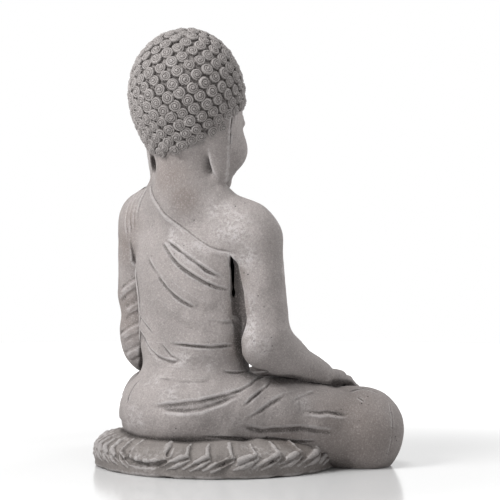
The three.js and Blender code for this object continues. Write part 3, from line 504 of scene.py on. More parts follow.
FOLDS = [   # lip width, lip height, crease depth, lip side, faded ends, crease width, then the line over the cloth, mm
    (6, 2.1, 2.5, -1, (1, 1), 1.7, [(5.9, 26, 222.4), (-4.1, 27, 216.9), (-16.2, 27.2, 210.2), (-26, 26.4, 204.2), (-34.5, 24.1, 198.6), (-41, 21, 193.5), (-47.3, 17.1, 189.5), (-53.9, 11.4, 185.7)]),
    (6, 2.1, 2.5, -1, (1, 1), 1.7, [(8, 26.1, 218.7), (0.6, 28.6, 212.2), (-6.6, 30.1, 205.5), (-15.4, 29.9, 198.2), (-24.6, 28.3, 192.1), (-32.7, 25.6, 187.1), (-40.9, 21, 182), (-48.3, 15.7, 178), (-57.1, 8.1, 175.1)]),
    (7, 1.9, 2.0, -1, (1, 1), 1.9, [(8.6, 31.3, 187.3), (-2.3, 32.2, 176.5), (-10.5, 31.2, 169.8), (-17.9, 29.4, 164.8), (-25.1, 27.2, 160.9), (-31.9, 24.6, 157.1)]),
    (7, 0.9, 0.7, -1, (1, 1), 2.2, [(25.5, 26.2, 204.8), (12.9, 30.7, 192.9), (1.7, 32.2, 182.8)]),
    (4.5, 0.9, 2.4, 1, (1, 0), 1.8, [(60.1, 11.9, 226.6), (63.3, 6.6, 212.1), (63.5, 3.6, 200.1), (50.9, 13.7, 186.7), (45.5, 17.4, 171.7), (43.9, 17.2, 156.4), (41, 18.2, 145.9), (43.6, 15.8, 134.4), (46.4, 13, 122.8), (60.9, -3.6, 111.8), (63.1, -5.8, 102.3), (69.2, -12.6, 92.2)]),
    (4.5, 1.1, 1.3, -1, (0, 1), 1.4, [(40.9, 18.4, 146.9), (30.4, 24.2, 140.8), (21.8, 27.2, 134.9), (17.2, 28.2, 131.7)]),
    (7, 2.1, 2.3, -1, (0, 1), 1.9, [(42.3, 16.7, 132.7), (31, 23.5, 125.4), (21.2, 26.1, 115.5), (10.1, 28.4, 109.2), (-0.2, 29.8, 105.8), (-7.6, 29.7, 104.7), (-16.2, 27.4, 106.6)]),
    (5, 1, 1, -1, (1, 1), 1.4, [(6.3, 29.4, 122.4), (-5.6, 29.1, 111.4), (-16.2, 27.4, 106.6)]),
    (7, 1.7, 1.8, -1, (1, 1), 1.5, [(-2.5, 29.8, 122.9), (-11.4, 28.8, 122.7), (-21.4, 26.3, 122.4), (-32.7, 22, 121.6), (-42.8, 16.1, 120.8), (-51, 8, 122.2), (-55.8, -0.8, 122.2)]),
    (6, 0.7, 0.6, -1, (1, 1), 1.8, [(-39.9, 20, 146), (-45.1, 15.4, 144.8), (-51.1, 8.2, 143.7), (-57.1, 0.9, 144)]),
    (4.5, 0.9, 1.2, -1, (1, 0), 1.3, [(-48.6, 7.9, 96.7), (-52, 2.9, 95.8), (-55.9, -4.3, 94.9), (-57.5, -13.5, 94.9), (-55.6, -23.3, 95.2)]),
    (8, 0.7, 0.5, -1, (1, 1), 2.4, [(6.7, 39.8, 91), (-1.8, 40.9, 89.9), (-12, 40.4, 89.3), (-24.8, 37.8, 88.6), (-34.9, 32.1, 88.7), (-42.9, 25.1, 89.4), (-48.7, 14.2, 91.4)]),
    (5, 1.1, 1.3, 1, (0, 1), 1.4, [(-67.4, -30, 89.2), (-71.4, -7.1, 85), (-68.8, 4.5, 80.6), (-62.4, 14.9, 77)]),
    (5, 1.1, 1.3, 1, (0, 1), 1.4, [(-79.2, -33.6, 86.1), (-81.3, -18.8, 81.5), (-80.5, -10.4, 78.4), (-79, -1, 73.2), (-75, 9.2, 65.1)]),
    (7, 1.3, 0.9, 1, (1, 1), 2, [(-102.9, -43.5, 74.8), (-99.3, -35.3, 73.7), (-95.2, -27.9, 72.4), (-90.1, -14.1, 67.1), (-85.1, -3, 60), (-77.9, 7.8, 52.7)]),
    (5, 0.8, 0.9, 1, (1, 1), 1.4, [(-110.6, -58.8, 75.6), (-108.2, -51.9, 74.1), (-102.9, -35.6, 69.2), (-99.8, -28.5, 65.4)]),
    (6.5, 1.4, 1.1, -1, (1, 1), 2, [(-1.2, 58, 64.4), (-15.9, 56.4, 66.4), (-24.2, 54, 67.7), (-31.7, 50.7, 68.9), (-40.1, 45.2, 70), (-47.8, 38.9, 71), (-54.6, 31.6, 73.3), (-59.5, 21.9, 75.3), (-63, 14.3, 76.9), (-67.5, 7.8, 78.7)]),
    (6.5, 1.3, 0.8, 1, (1, 1), 2.4, [(-13.2, 57.5, 63.2), (-22.9, 55.6, 62.3), (-37.3, 49.6, 61.8), (-49.2, 40.7, 63.3), (-56.4, 33.8, 66.7), (-61.7, 24.6, 69.7), (-66, 14.1, 73.6), (-71.3, 4.8, 77.7)]),
    (3, 0.5, 1, 1, (1, 1), 1, [(-132, -96.5, 69.7), (-136.3, -97.1, 67.8), (-139.9, -97.4, 65.5)]),
    (8, 1.1, 1.6, -1, (1, 1), 2.6, [(-73.9, 12.4, 47.3), (-80, 3.3, 44.5), (-85.9, -6.1, 41.7), (-93.1, -14.7, 42.4), (-99.7, -24, 42.9), (-108.9, -35.5, 43.5), (-114.2, -42.7, 41.8), (-119.5, -49.9, 40), (-124.8, -57.3, 38.8), (-129.6, -65.3, 37.4)]),
    (4, 0.9, 1.6, -1, (1, 1), 1.4, [(-46.3, 38.4, 37.3), (-52.5, 33.5, 37.1), (-58.2, 28, 36.9), (-63.3, 21.9, 36.5), (-68.3, 15.4, 35.5), (-72.9, 8.6, 34.4), (-74.3, -2.4, 32.6), (-80.1, -7.9, 32.2), (-89.5, -8.6, 32.5), (-95, -14.5, 32), (-98.5, -23, 31.2), (-101.8, -31.7, 30.2), (-107, -38, 29.7), (-112.4, -45.1, 29.9), (-118.1, -51.9, 30.1)]),
    (2.5, 0.25, 0.5, 1, (1, 1), 0.9, [(-146.3, -128.2, 66.8), (-156.6, -118.5, 56.7), (-160.9, -114, 42.8), (-160.8, -112.5, 28.4), (-157.1, -112.9, 13.6), (-153.7, -114.5, 6.3)]),
    (8, 1, 0.8, 1, (1, 1), 2.6, [(33.7, 51.1, 63.3), (33.6, 48.1, 71.7), (32.2, 42.5, 81), (26.9, 36.8, 88.6)]),
    (7, 0.9, 0.8, 1, (1, 0), 2.2, [(82.4, 2.8, 170), (75.4, 4.1, 174.8), (69.3, 3.6, 178.9), (63, 1.9, 183)]),
    (7, 0.9, 0.8, -1, (1, 0), 2.2, [(83.3, 1.2, 158.8), (76.2, 3.2, 163.6), (70, 2.8, 167.7), (62.9, 0.8, 171.8)]),
    (7, 0.9, 0.8, 1, (1, 0), 2.2, [(77.7, 1.5, 152.3), (70.8, 2, 156.5), (62.9, -0.4, 160.7)]),
    (7, 0.9, 0.8, -1, (1, 0), 2.2, [(79.2, -0.1, 140.9), (71.9, 0.7, 145.3), (63.2, -1.9, 149.4)]),
    (7, 0.9, 0.8, 1, (1, 0), 2.2, [(88.8, -4.4, 124.6), (77.8, 1.5, 129.9), (71.4, 1.3, 134.2), (63.3, -1.9, 138.3)]),
    (7, 0.9, 0.8, -1, (1, 0), 2.2, [(78.6, 0.6, 118.7), (71.2, 1.6, 123.1), (62.6, -1, 127.3)]),
    (7, 0.9, 0.8, 1, (1, 0), 2.2, [(82.5, -3.8, 107), (72.7, -0.1, 111.7), (63.2, -1.7, 116)]),
    (7, 0.9, 0.8, -1, (1, 0), 2.2, [(76.7, -4.6, 100), (64.9, -3.7, 104.7)]),
    (3.6, 0.6, 0.6, 1, (0, 1), 1.3, [(38.5, 14.5, 266.6), (43, 14.5, 260.2), (46.9, 15.2, 249.5), (49.1, 14.9, 235.8)]),
    (3.6, 0.6, 0.6, 1, (0, 1), 1.3, [(45.7, 11.4, 264.7), (50, 12.6, 257.7), (52.4, 14.7, 245.5), (52.7, 14.6, 237.7), (53.8, 13.6, 229.9)]),
    (3.6, 0.6, 0.6, 1, (0, 1), 1.3, [(53.3, 8, 262.8), (56.6, 11.2, 255.1), (58.5, 13.7, 241.5), (58.1, 13.5, 232.7), (59.2, 11.6, 223.8)]),
    (3.6, 0.6, 0.6, 1, (0, 1), 1.3, [(60.1, 5.4, 260.9), (63.2, 9.8, 252.5), (64.6, 12.6, 237.4), (64.3, 11.4, 227.6), (65.5, 8.5, 217.7)]),
    (6, 1.5, 1.5, -1, (1, 1), 1.5, [(30, -33.5, 256), (24, -35, 250), (18, -37.6, 244), (12, -42.3, 238), (5.3, -46.8, 230.7), (-1.3, -50.6, 223.3), (-8, -53.2, 216), (-14, -54, 209.3), (-20, -53.3, 202.7), (-26, -50.8, 196), (-32, -47, 189.3), (-38, -43.4, 182.7), (-44, -39.7, 176)]),
    (6, 1.5, 1.5, -1, (1, 1), 1.5, [(38, -35.1, 252), (33.3, -37.4, 244.7), (28.7, -42.7, 237.3), (24, -49.3, 230), (18, -52.3, 222), (12, -53, 214), (6, -52.7, 206), (0, -52.5, 198.7), (-6, -52.2, 191.3), (-12, -51.7, 184), (-18.7, -50.6, 177), (-25.3, -49.1, 170), (-32, -46.9, 163), (-39, -43, 157.5), (-46, -37.1, 152)]),
    (6, 1.5, 1.5, -1, (1, 1), 1.5, [(45, -39.9, 238), (41.3, -44.6, 230), (37.7, -50.2, 222), (34, -52.4, 214), (28.7, -52.7, 206), (23.3, -52, 198), (18, -50.9, 190), (11.3, -51.4, 182.7), (4.7, -52.2, 175.3), (-2, -52.8, 168), (-8.7, -53.3, 162), (-15.3, -53.2, 156), (-22, -52.4, 150), (-32, -49.6, 144), (-42, -42.5, 138)]),
    (6, 1.5, 1.5, -1, (1, 1), 1.5, [(49, -45.5, 214), (46, -46.1, 206), (43, -44, 198), (40, -42.6, 190), (34.7, -44.3, 182.7), (29.3, -46.7, 175.3), (24, -49.3, 168), (17.3, -51.7, 162), (10.7, -53.9, 156), (4, -56, 150), (-3.3, -57.4, 145.3), (-10.7, -57.7, 140.7), (-18, -56.7, 136), (-25.3, -54.5, 132.7), (-32.7, -51.1, 129.3), (-40, -44.9, 126)]),
    (6, 1.5, 1.5, -1, (1, 1), 1.5, [(51, -34, 186), (46.5, -37.3, 176), (42, -40.2, 166), (36.7, -43.6, 160), (31.3, -47.7, 154), (26, -52.2, 148), (19.3, -55.6, 143.3), (12.7, -57.4, 138.7), (6, -58.7, 134), (-4, -59.2, 129), (-14, -57.7, 124), (-25, -54.1, 120), (-36, -46.4, 116)]),
    (6, 1.5, 1.5, -1, (1, 1), 1.5, [(50, -33, 158), (44, -39.3, 149), (38, -46, 140), (29, -53.2, 133), (20, -56.6, 126), (11, -57.7, 122), (2, -57.9, 118), (-9, -56.7, 114.5), (-20, -53.2, 111)]),
    (5.5, 1.3, 1.4, -1, (1, 1), 1.5, [(88, -18.6, 250), (80, -35.6, 240), (70, -40.9, 236)]),
    (5.5, 1.3, 1.4, -1, (1, 1), 1.5, [(92, -27.2, 226), (84, -36.5, 214), (72, -40.5, 206), (62, -38.4, 204)]),
    (5.5, 1.3, 1.4, -1, (1, 1), 1.5, [(92, -30.4, 204), (88, -35.5, 197), (84, -38.3, 190), (72, -41, 180), (62, -38.2, 178)]),
    (5.5, 1.3, 1.4, -1, (1, 1), 1.5, [(92, -33.1, 182), (88, -37.1, 174), (84, -39.2, 166), (72, -40.3, 156), (62, -36.6, 154)]),
    (5.5, 1.3, 1.4, -1, (1, 1), 1.5, [(91, -34.3, 160), (87.5, -35.7, 152), (84, -37.8, 144), (74, -43.3, 134), (64, -41.8, 132)]),
    (5.5, 1.3, 1.4, -1, (1, 1), 1.5, [(90, -33.4, 140), (84, -42.7, 126), (76, -50.5, 116), (66, -62.4, 112)]),
    (7.5, 1.5, 1.3, 1, (1, 1), 1.9, [(140, -144.5, 62), (129, -146.7, 65), (118, -143.8, 68), (109.3, -140.1, 68.7), (100.7, -131.6, 69.3), (92, -108.8, 70), (84, -105, 69), (76, -105.3, 68), (68, -115.2, 67), (60, -119.3, 66), (52, -125, 64), (44, -131.6, 62), (36, -136.9, 60), (28, -140.5, 58), (18.7, -143.4, 55.3), (9.3, -145, 52.7), (0, -146.9, 50)]),
    (7.5, 1.5, 1.3, 1, (1, 1), 1.9, [(150, -147.8, 46), (141.3, -153.9, 48), (132.7, -157.4, 50), (124, -158.3, 52), (114.7, -157.5, 52.7), (105.3, -154.9, 53.3), (96, -151.7, 54), (87.5, -150.5, 53.3), (79, -150.8, 52.5), (70.5, -150.7, 51.8), (62, -150.8, 51), (53.5, -151.8, 49.3), (45, -152.1, 47.5), (36.5, -152.5, 45.8), (28, -153.2, 44), (20, -153.7, 42), (12, -153.9, 40), (4, -154.4, 38), (-4, -154.6, 36)]),
    (7.5, 1.5, 1.3, 1, (1, 1), 1.9, [(152, -147.2, 30), (142, -156.6, 32.3), (132, -161.1, 34.7), (122, -162.3, 37), (114, -161.7, 37.5), (106, -160.1, 38), (98, -158.4, 38.5), (90, -157.6, 39), (81.5, -157.5, 38.3), (73, -157.2, 37.5), (64.5, -157.1, 36.8), (56, -156.8, 36), (48, -156.4, 34.5), (40, -156.1, 33), (32, -156, 31.5), (24, -155.7, 30)]),
    (7.5, 1.5, 1.3, 1, (1, 1), 1.9, [(136, -155, 16), (126.7, -159, 18), (117.3, -159.9, 20), (108, -159, 22), (98, -157.3, 22.7), (88, -156.5, 23.3), (78, -156.3, 24), (68, -155.9, 23), (58, -155.1, 22), (48, -154.2, 21)]),
    (7.5, 1.5, 1.3, 1, (1, 1), 1.9, [(-140, -144.3, 62), (-132, -146.1, 65), (-124, -145.1, 68), (-112, -140.9, 70)]),
    (7.5, 1.5, 1.3, 1, (1, 1), 1.9, [(-64, -135.6, 70), (-56, -134.4, 70.7), (-48, -133.4, 71.3), (-40, -133.2, 72), (-30.7, -133.1, 72.3), (-21.3, -132.4, 72.7), (-12, -132.1, 73), (-4, -131.1, 73.8), (4, -130.5, 74.5), (12, -132, 75.3), (20, -133.3, 76)]),
    (7.5, 1.5, 1.3, 1, (1, 1), 1.9, [(-150, -147.9, 44), (-139, -154, 48), (-128, -155.9, 52), (-120, -156.2, 53), (-112, -154.7, 54)]),
    (7.5, 1.5, 1.3, 1, (1, 1), 1.9, [(-66, -144.8, 56), (-57.3, -144, 55.3), (-48.7, -143.1, 54.7), (-40, -143.9, 54), (-31.3, -144, 54.3), (-22.7, -143.3, 54.7), (-14, -143.2, 55), (-3, -142.3, 56.5), (8, -140.9, 58)]),
    (7.5, 1.5, 1.3, 1, (1, 1), 1.9, [(-150, -148.5, 28), (-140.7, -155.5, 30.3), (-131.3, -159, 32.7), (-122, -160.1, 35), (-112, -158.9, 34.3), (-102, -154.7, 33.7), (-92, -149.9, 33), (-82, -156.7, 34), (-72, -143.7, 35), (-62, -142.4, 36), (-53.3, -143.5, 36.7), (-44.7, -147.9, 37.3), (-36, -151.9, 38)]),
    (7.5, 1.5, 1.3, 1, (1, 1), 1.9, [(-138, -152.9, 15), (-128, -156.6, 16.7), (-118, -157.3, 18.3), (-108, -154.8, 20), (-100, -149.5, 19.5), (-92, -144.7, 19), (-84, -140.3, 18.5), (-76, -134.7, 18), (-67.3, -138.9, 18.7), (-58.7, -141, 19.3), (-50, -142.7, 20)]),
    (6, 1.3, 1.4, 1, (1, 1), 1.6, [(85.6, -34, 232), (89.7, -31.3, 223.3), (92, -28.7, 214.7), (94.1, -26, 206), (96.1, -22.7, 198), (97.5, -19.3, 190), (98.3, -16, 182), (98.3, -12.7, 174.7), (97.1, -9.3, 167.3), (93.7, -6, 160)]),
    (6, 1.3, 1.4, 1, (1, 1), 1.6, [(87, -36, 200), (90.3, -34, 192), (92.8, -32, 184), (94.9, -30, 176), (97.3, -26.7, 168.7), (98, -23.3, 161.3), (96.7, -20, 154), (93.6, -14, 144), (91.3, -8, 134)]),
    (6, 1.3, 1.4, 1, (1, 1), 1.6, [(81.7, -40, 168), (86.7, -37, 157), (88.5, -34, 146), (93.4, -29, 136), (95.7, -24, 126), (95, -17, 119), (90.9, -10, 112)]),
    (6, 1.3, 1.4, 1, (1, 1), 1.6, [(81.3, -40, 140), (88.3, -38, 131), (91.5, -36, 122), (93.5, -32, 115), (93.3, -28, 108)]),
    (8.5, 1.4, 1.1, 1, (1, 1), 2.4, [(47.8, 40, 70), (58.5, 30, 68), (66.3, 20, 66), (74.2, 10, 64), (81.2, 1.5, 63), (87.1, -7, 62), (92.7, -15.5, 61), (99, -24, 60), (105.4, -32.5, 60), (111, -41, 60), (117, -49.5, 60), (122.4, -58, 60), (125.1, -66.5, 61.5), (126.9, -75, 63), (128.8, -83.5, 64.5), (132.7, -92, 66)]),
    (8.5, 1.4, 1.1, 1, (1, 1), 2.4, [(42.4, 46, 48), (52.6, 38, 46.5), (60.3, 30, 45), (66.2, 22, 43.5), (71.3, 14, 42), (78, 5, 41), (84.3, -4, 40), (90.7, -13, 39), (97.7, -22, 38), (105.1, -31.5, 38.5), (111.9, -41, 39), (119.7, -50.5, 39.5), (126.7, -60, 40), (131.2, -68, 41.6), (135.6, -76, 43.2), (141.7, -84, 44.8), (149.1, -92, 46.4), (155.1, -100, 48)]),
    (8.5, 1.4, 1.1, 1, (1, 1), 2.4, [(65.6, 40, 26), (80.7, 31.5, 25), (89.9, 23, 24), (96.7, 14.5, 23), (103.6, 6, 22), (112.1, -2.4, 21.6), (110.6, -10.8, 21.2), (117.7, -19.2, 20.8), (119.4, -27.6, 20.4), (121.5, -36, 20), (116.8, -44.4, 20.8), (115, -52.8, 21.6), (120.6, -61.2, 22.4), (127.9, -69.6, 23.2), (134.6, -78, 24)]),
    (7.5, 1.2, 1, 1, (1, 1), 2, [(79, -61.5, 99.6), (86, -66, 84.4), (92.5, -71.5, 83.4), (99, -77, 82.6), (105.5, -82.5, 79.3), (112, -88, 75.9)]),
    (7.5, 1.2, 1, 1, (1, 1), 2, [(88.5, -51, 84.5), (95, -56, 82.9), (101.5, -61, 81.2), (108, -66, 79.3), (114, -72.5, 76.6), (120, -79, 72.1), (126, -85.5, 67.9), (132, -92, 66.4)]),
    (7.5, 1.2, 1, 1, (1, 1), 2, [(98, -38, 76.4), (104.5, -44.5, 74.1), (111, -51, 71.4), (117.5, -57.5, 68.1), (124, -64, 62)]),
    (7.5, 1.2, 1, 1, (1, 1), 2, [(-109.3, -37.3, 58.8), (-114.7, -44.7, 57.7), (-120, -52, 56.6), (-124, -59.5, 57), (-128, -67, 55.1), (-132, -74.5, 53.8), (-136, -82, 54.9)]),
    (7.5, 1.2, 1, 1, (1, 1), 2, [(-120, -96, 73.2), (-124, -104, 74.8), (-128, -112, 76.1), (-135, -116, 74.3), (-142, -120, 70.8)]),
    (1, 0, -1.5, 1, (1, 1), 9, [(14, 28, 238), (-4, 29, 229), (-18, 27, 219), (-32, 23, 208), (-46, 16, 199)]),
    (1, 0, -1.3, 1, (1, 1), 8, [(16, 29, 204), (0, 31, 190), (-16, 31, 178), (-34, 26, 167), (-50, 15, 160)]),
    (1, 0, -1.1, 1, (1, 1), 9, [(28, 25, 182), (10, 31, 166), (-10, 32, 154), (-30, 27, 145), (-48, 16, 140)]),
    (1, 0, -1.2, 1, (1, 1), 9, [(36, 22, 118), (16, 29, 110), (-6, 31, 106), (-30, 27, 110), (-50, 14, 112)]),
    (1, 0, -1.0, 1, (1, 1), 8, [(38, 20, 104), (16, 33, 100), (-8, 35, 99), (-34, 27, 101)]),
]
CLOTH = [lambda V, N, f=f: fold_disp(V, N, f[7 - 1], f[0] * 1.5, f[1] * 1.0, f[2] * (.85 if f[2] > 0 else 1.15), side=f[3], ends=f[4], crease=f[5] * (1.15 if f[5] < 5 else 1)) for f in FOLDS]

say('start')
V, Q = keep_largest(*surface(Cut(r_torso), (-74, -70, 76), (74, 56, 300), H * .85))
torso = finish_piece('torso_stone', V, Q, CLOTH, robe=True)
slice_off(torso, (0, 0, WAIST_Z), (0, 0, -1)); slice_off(torso, (0, 0, NECK_Z), (0, -NECK_S, 1))
slice_off(torso, (ARM_X, 0, 0), (1, 0, 0), zmin=140); slice_off(torso, (-ARM_X, 0, 0), (-1, 0, 0), zmin=140)
V, Q = keep_largest(*surface(Cut(r_legs), (-172, -170, -4), (172, 76, 110), H))
legs = finish_piece('lap_stone', V, Q, CLOTH)
slice_off(legs, (0, 0, WAIST_Z), (0, 0, 1)); slice_off(legs, (0, 0, .25), (0, 0, -1))
V, Q = keep_largest(*surface(Cut(r_rarm), (-116, -168, 24), (-40, 24, 272), H * .9))
rarm = finish_piece('right_arm_stone', V, Q, [], robe='edge')
slice_off(rarm, (-ARM_X, 0, 0), (1, 0, 0), zmin=140)
V, Q = keep_largest(*surface(Cut(r_larm), (-56, -128, 66), (106, 24, 272), H * .9))
larm = finish_piece('left_arm_stone', V, Q, CLOTH, robe=True)
slice_off(larm, (ARM_X, 0, 0), (-1, 0, 0), zmin=140)
V, Q = keep_largest(*surface(Cut(r_head), (-64, -76, 244), (64, 64, 428), .8))
head = finish_piece('head_stone', V, Q, [], cav_it=(4, 18, 80), rough=.0)
slice_off(head, (0, 0, NECK_Z), (0, NECK_S, -1))

# ---- hair: a cap of snail curls --------------------------------------
def hairline(x, y):
    """height of the hair's lower edge"""
    yy = np.array([-60, -54, -46, -36, -24, -12, -6, -1, 6, 14, 24, 34, 44, 52, 60.])
    zz = np.array([359, 358, 355, 350, 346, 344, 336, 323, 317, 314, 309, 303, 296, 291.5, 289])
    return np.interp(y, yy, zz)
gScalp = Grp(HEAD[:2] + HEAD[3:4])
def on_scalp(P):
    """the nearest places on the head and the outward normals there"""
    for _ in range(8):
        f = gScalp.full(*P.T); e = .5
        G = np.stack([gScalp.full(*(P + e * np.eye(3)[k]).T) - gScalp.full(*(P - e * np.eye(3)[k]).T) for k in range(3)], 1) / (2 * e)
        G /= np.linalg.norm(G, axis=1, keepdims=True) + 1e-9
        P = P - G * f[:, None]
    return P, G
rng = np.random.RandomState(7)
NC = 366                                  # an even staggered spread over a long egg, then settled on the head
ra, rz = 52.7, 69.0
tt_ = np.linspace(0, math.pi, 4001); dA = np.sin(tt_) * np.sqrt((ra * np.cos(tt_)) ** 2 + (rz * np.sin(tt_)) ** 2); cA = np.cumsum(dA); cA /= cA[-1]
i_ = np.arange(NC); th_ = np.interp((i_ + .5) / NC, cA, tt_); az = i_ * math.pi * (3 - math.sqrt(5)) + .9
P_ = np.stack([50.5 * np.sin(th_) * np.cos(az), 2 + 55 * np.sin(th_) * np.sin(az), 352 + rz * np.cos(th_)], 1)
P_ = P_[P_[:, 2] > 296]
P_, N_ = on_scalp(P_)
ok = P_[:, 2] > hairline(P_[:, 0], P_[:, 1]) + 3.5
P_, N_ = P_[ok], N_[ok]
P_ += rng.normal(0, .3, P_.shape); say('curls', len(P_))
h = .6
lo = np.array([-60, -64, 284.]); hi = np.array([60, 68, 430.])
nb = np.ceil((hi - lo) / h).astype(int)
ax = [(lo[i] + h * np.arange(nb[i])).astype(np.float32) for i in range(3)]
X, Y, Z = ax[0][:, None, None], ax[1][None, :, None], ax[2][None, None, :]
SC = gScalp.full(X, Y, Z).astype(np.float32)
F = SC - .35
F = np.maximum(F, hairline(X, Y).astype(np.float32) - Z + 1.5)
for c, n in zip(P_, N_):
    s = 1 + rng.uniform(-.05, .06); phase = rng.uniform(0, 2 * math.pi); hand = 1 if rng.rand() < .8 else -1
    n = n + rng.normal(0, .05, 3); n /= np.linalg.norm(n)
    i0 = np.maximum(((c - 9 - lo) / h).astype(int), 0); i1 = np.minimum(((c + 9 - lo) / h).astype(int) + 1, nb)
    sl = tuple(slice(i0[i], i1[i]) for i in range(3))
    x, y, z = X[sl[0]] - c[0], Y[:, sl[1]] - c[1], Z[:, :, sl[2]] - c[2]
    t1 = np.cross(n, [0, 0, 1.0]); t1 /= np.linalg.norm(t1) + 1e-9; t2 = np.cross(n, t1)
    u = x * t1[0] + y * t1[1] + z * t1[2]; v = x * t2[0] + y * t2[1] + z * t2[2]; w = x * n[0] + y * n[1] + z * n[2]
    rho = np.sqrt(u * u + v * v); th = (np.arctan2(v, u) * hand + phase) % (2 * math.pi)
    # a rounded button, a little domed, its coil cut as one spiral line round a small nub
    rd = 2.3 * s; q = rho - (5.75 * s - rd); ww = np.abs(w - 1.0 + .026 * rho * rho) - (3.5 * s - rd)
    d0 = np.sqrt(np.maximum(q, 0) ** 2 + np.maximum(ww, 0) ** 2) + np.minimum(np.maximum(q, ww), 0) - rd
    cut = 0
    for kk in range(3):
        t = th / (2 * math.pi) + kk                     # turns from the centre
        cr = 1.05 + 1.75 * t
        cut = np.maximum(cut, np.exp(-((rho - cr) / .55) ** 2) * (cr < 4.7))
    d0 = d0 + np.where(w > 0, 1.15 * cut, 0)
    F[sl] = smin(F[sl], np.where(w < -3, 5, d0).astype(np.float32), .35)
F = np.maximum(F, -(SC + 2.2))
F = np.maximum(F, 286 - Z)
g = openvdb.FloatGrid(3 * h); g.copyFromArray(np.clip(F, -3 * h, 3 * h))
pts, quads = g.convertToQuads(0.0)
V, Q = pts.astype(float) * h + lo, quads.astype(np.int64)
V, Q = keep_largest(V, Q)
hair = finish_piece('hair_stone', V, Q, [], cav_it=(4, 16, 50), rough=.0)

# ---- cushion base ------------------------------------------------------
class BaseCut:
    def coarse(s, X, Y, Z): s.D = mx(gBase.coarse(X, Y, Z), -Z); return s.D
    def fine(s, x, y, z, i, R): return mx(gBase.fine(x, y, z, i, R), -z)
V, Q = keep_largest(*surface(BaseCut(), (-128, -166, -4), (128, 84, 40), .95))
base = finish_piece('cushion_stone', V, Q, [], cav_it=(3, 12, 50), rough=2.5)
slice_off(base, (0, 0, .25), (0, 0, -1))

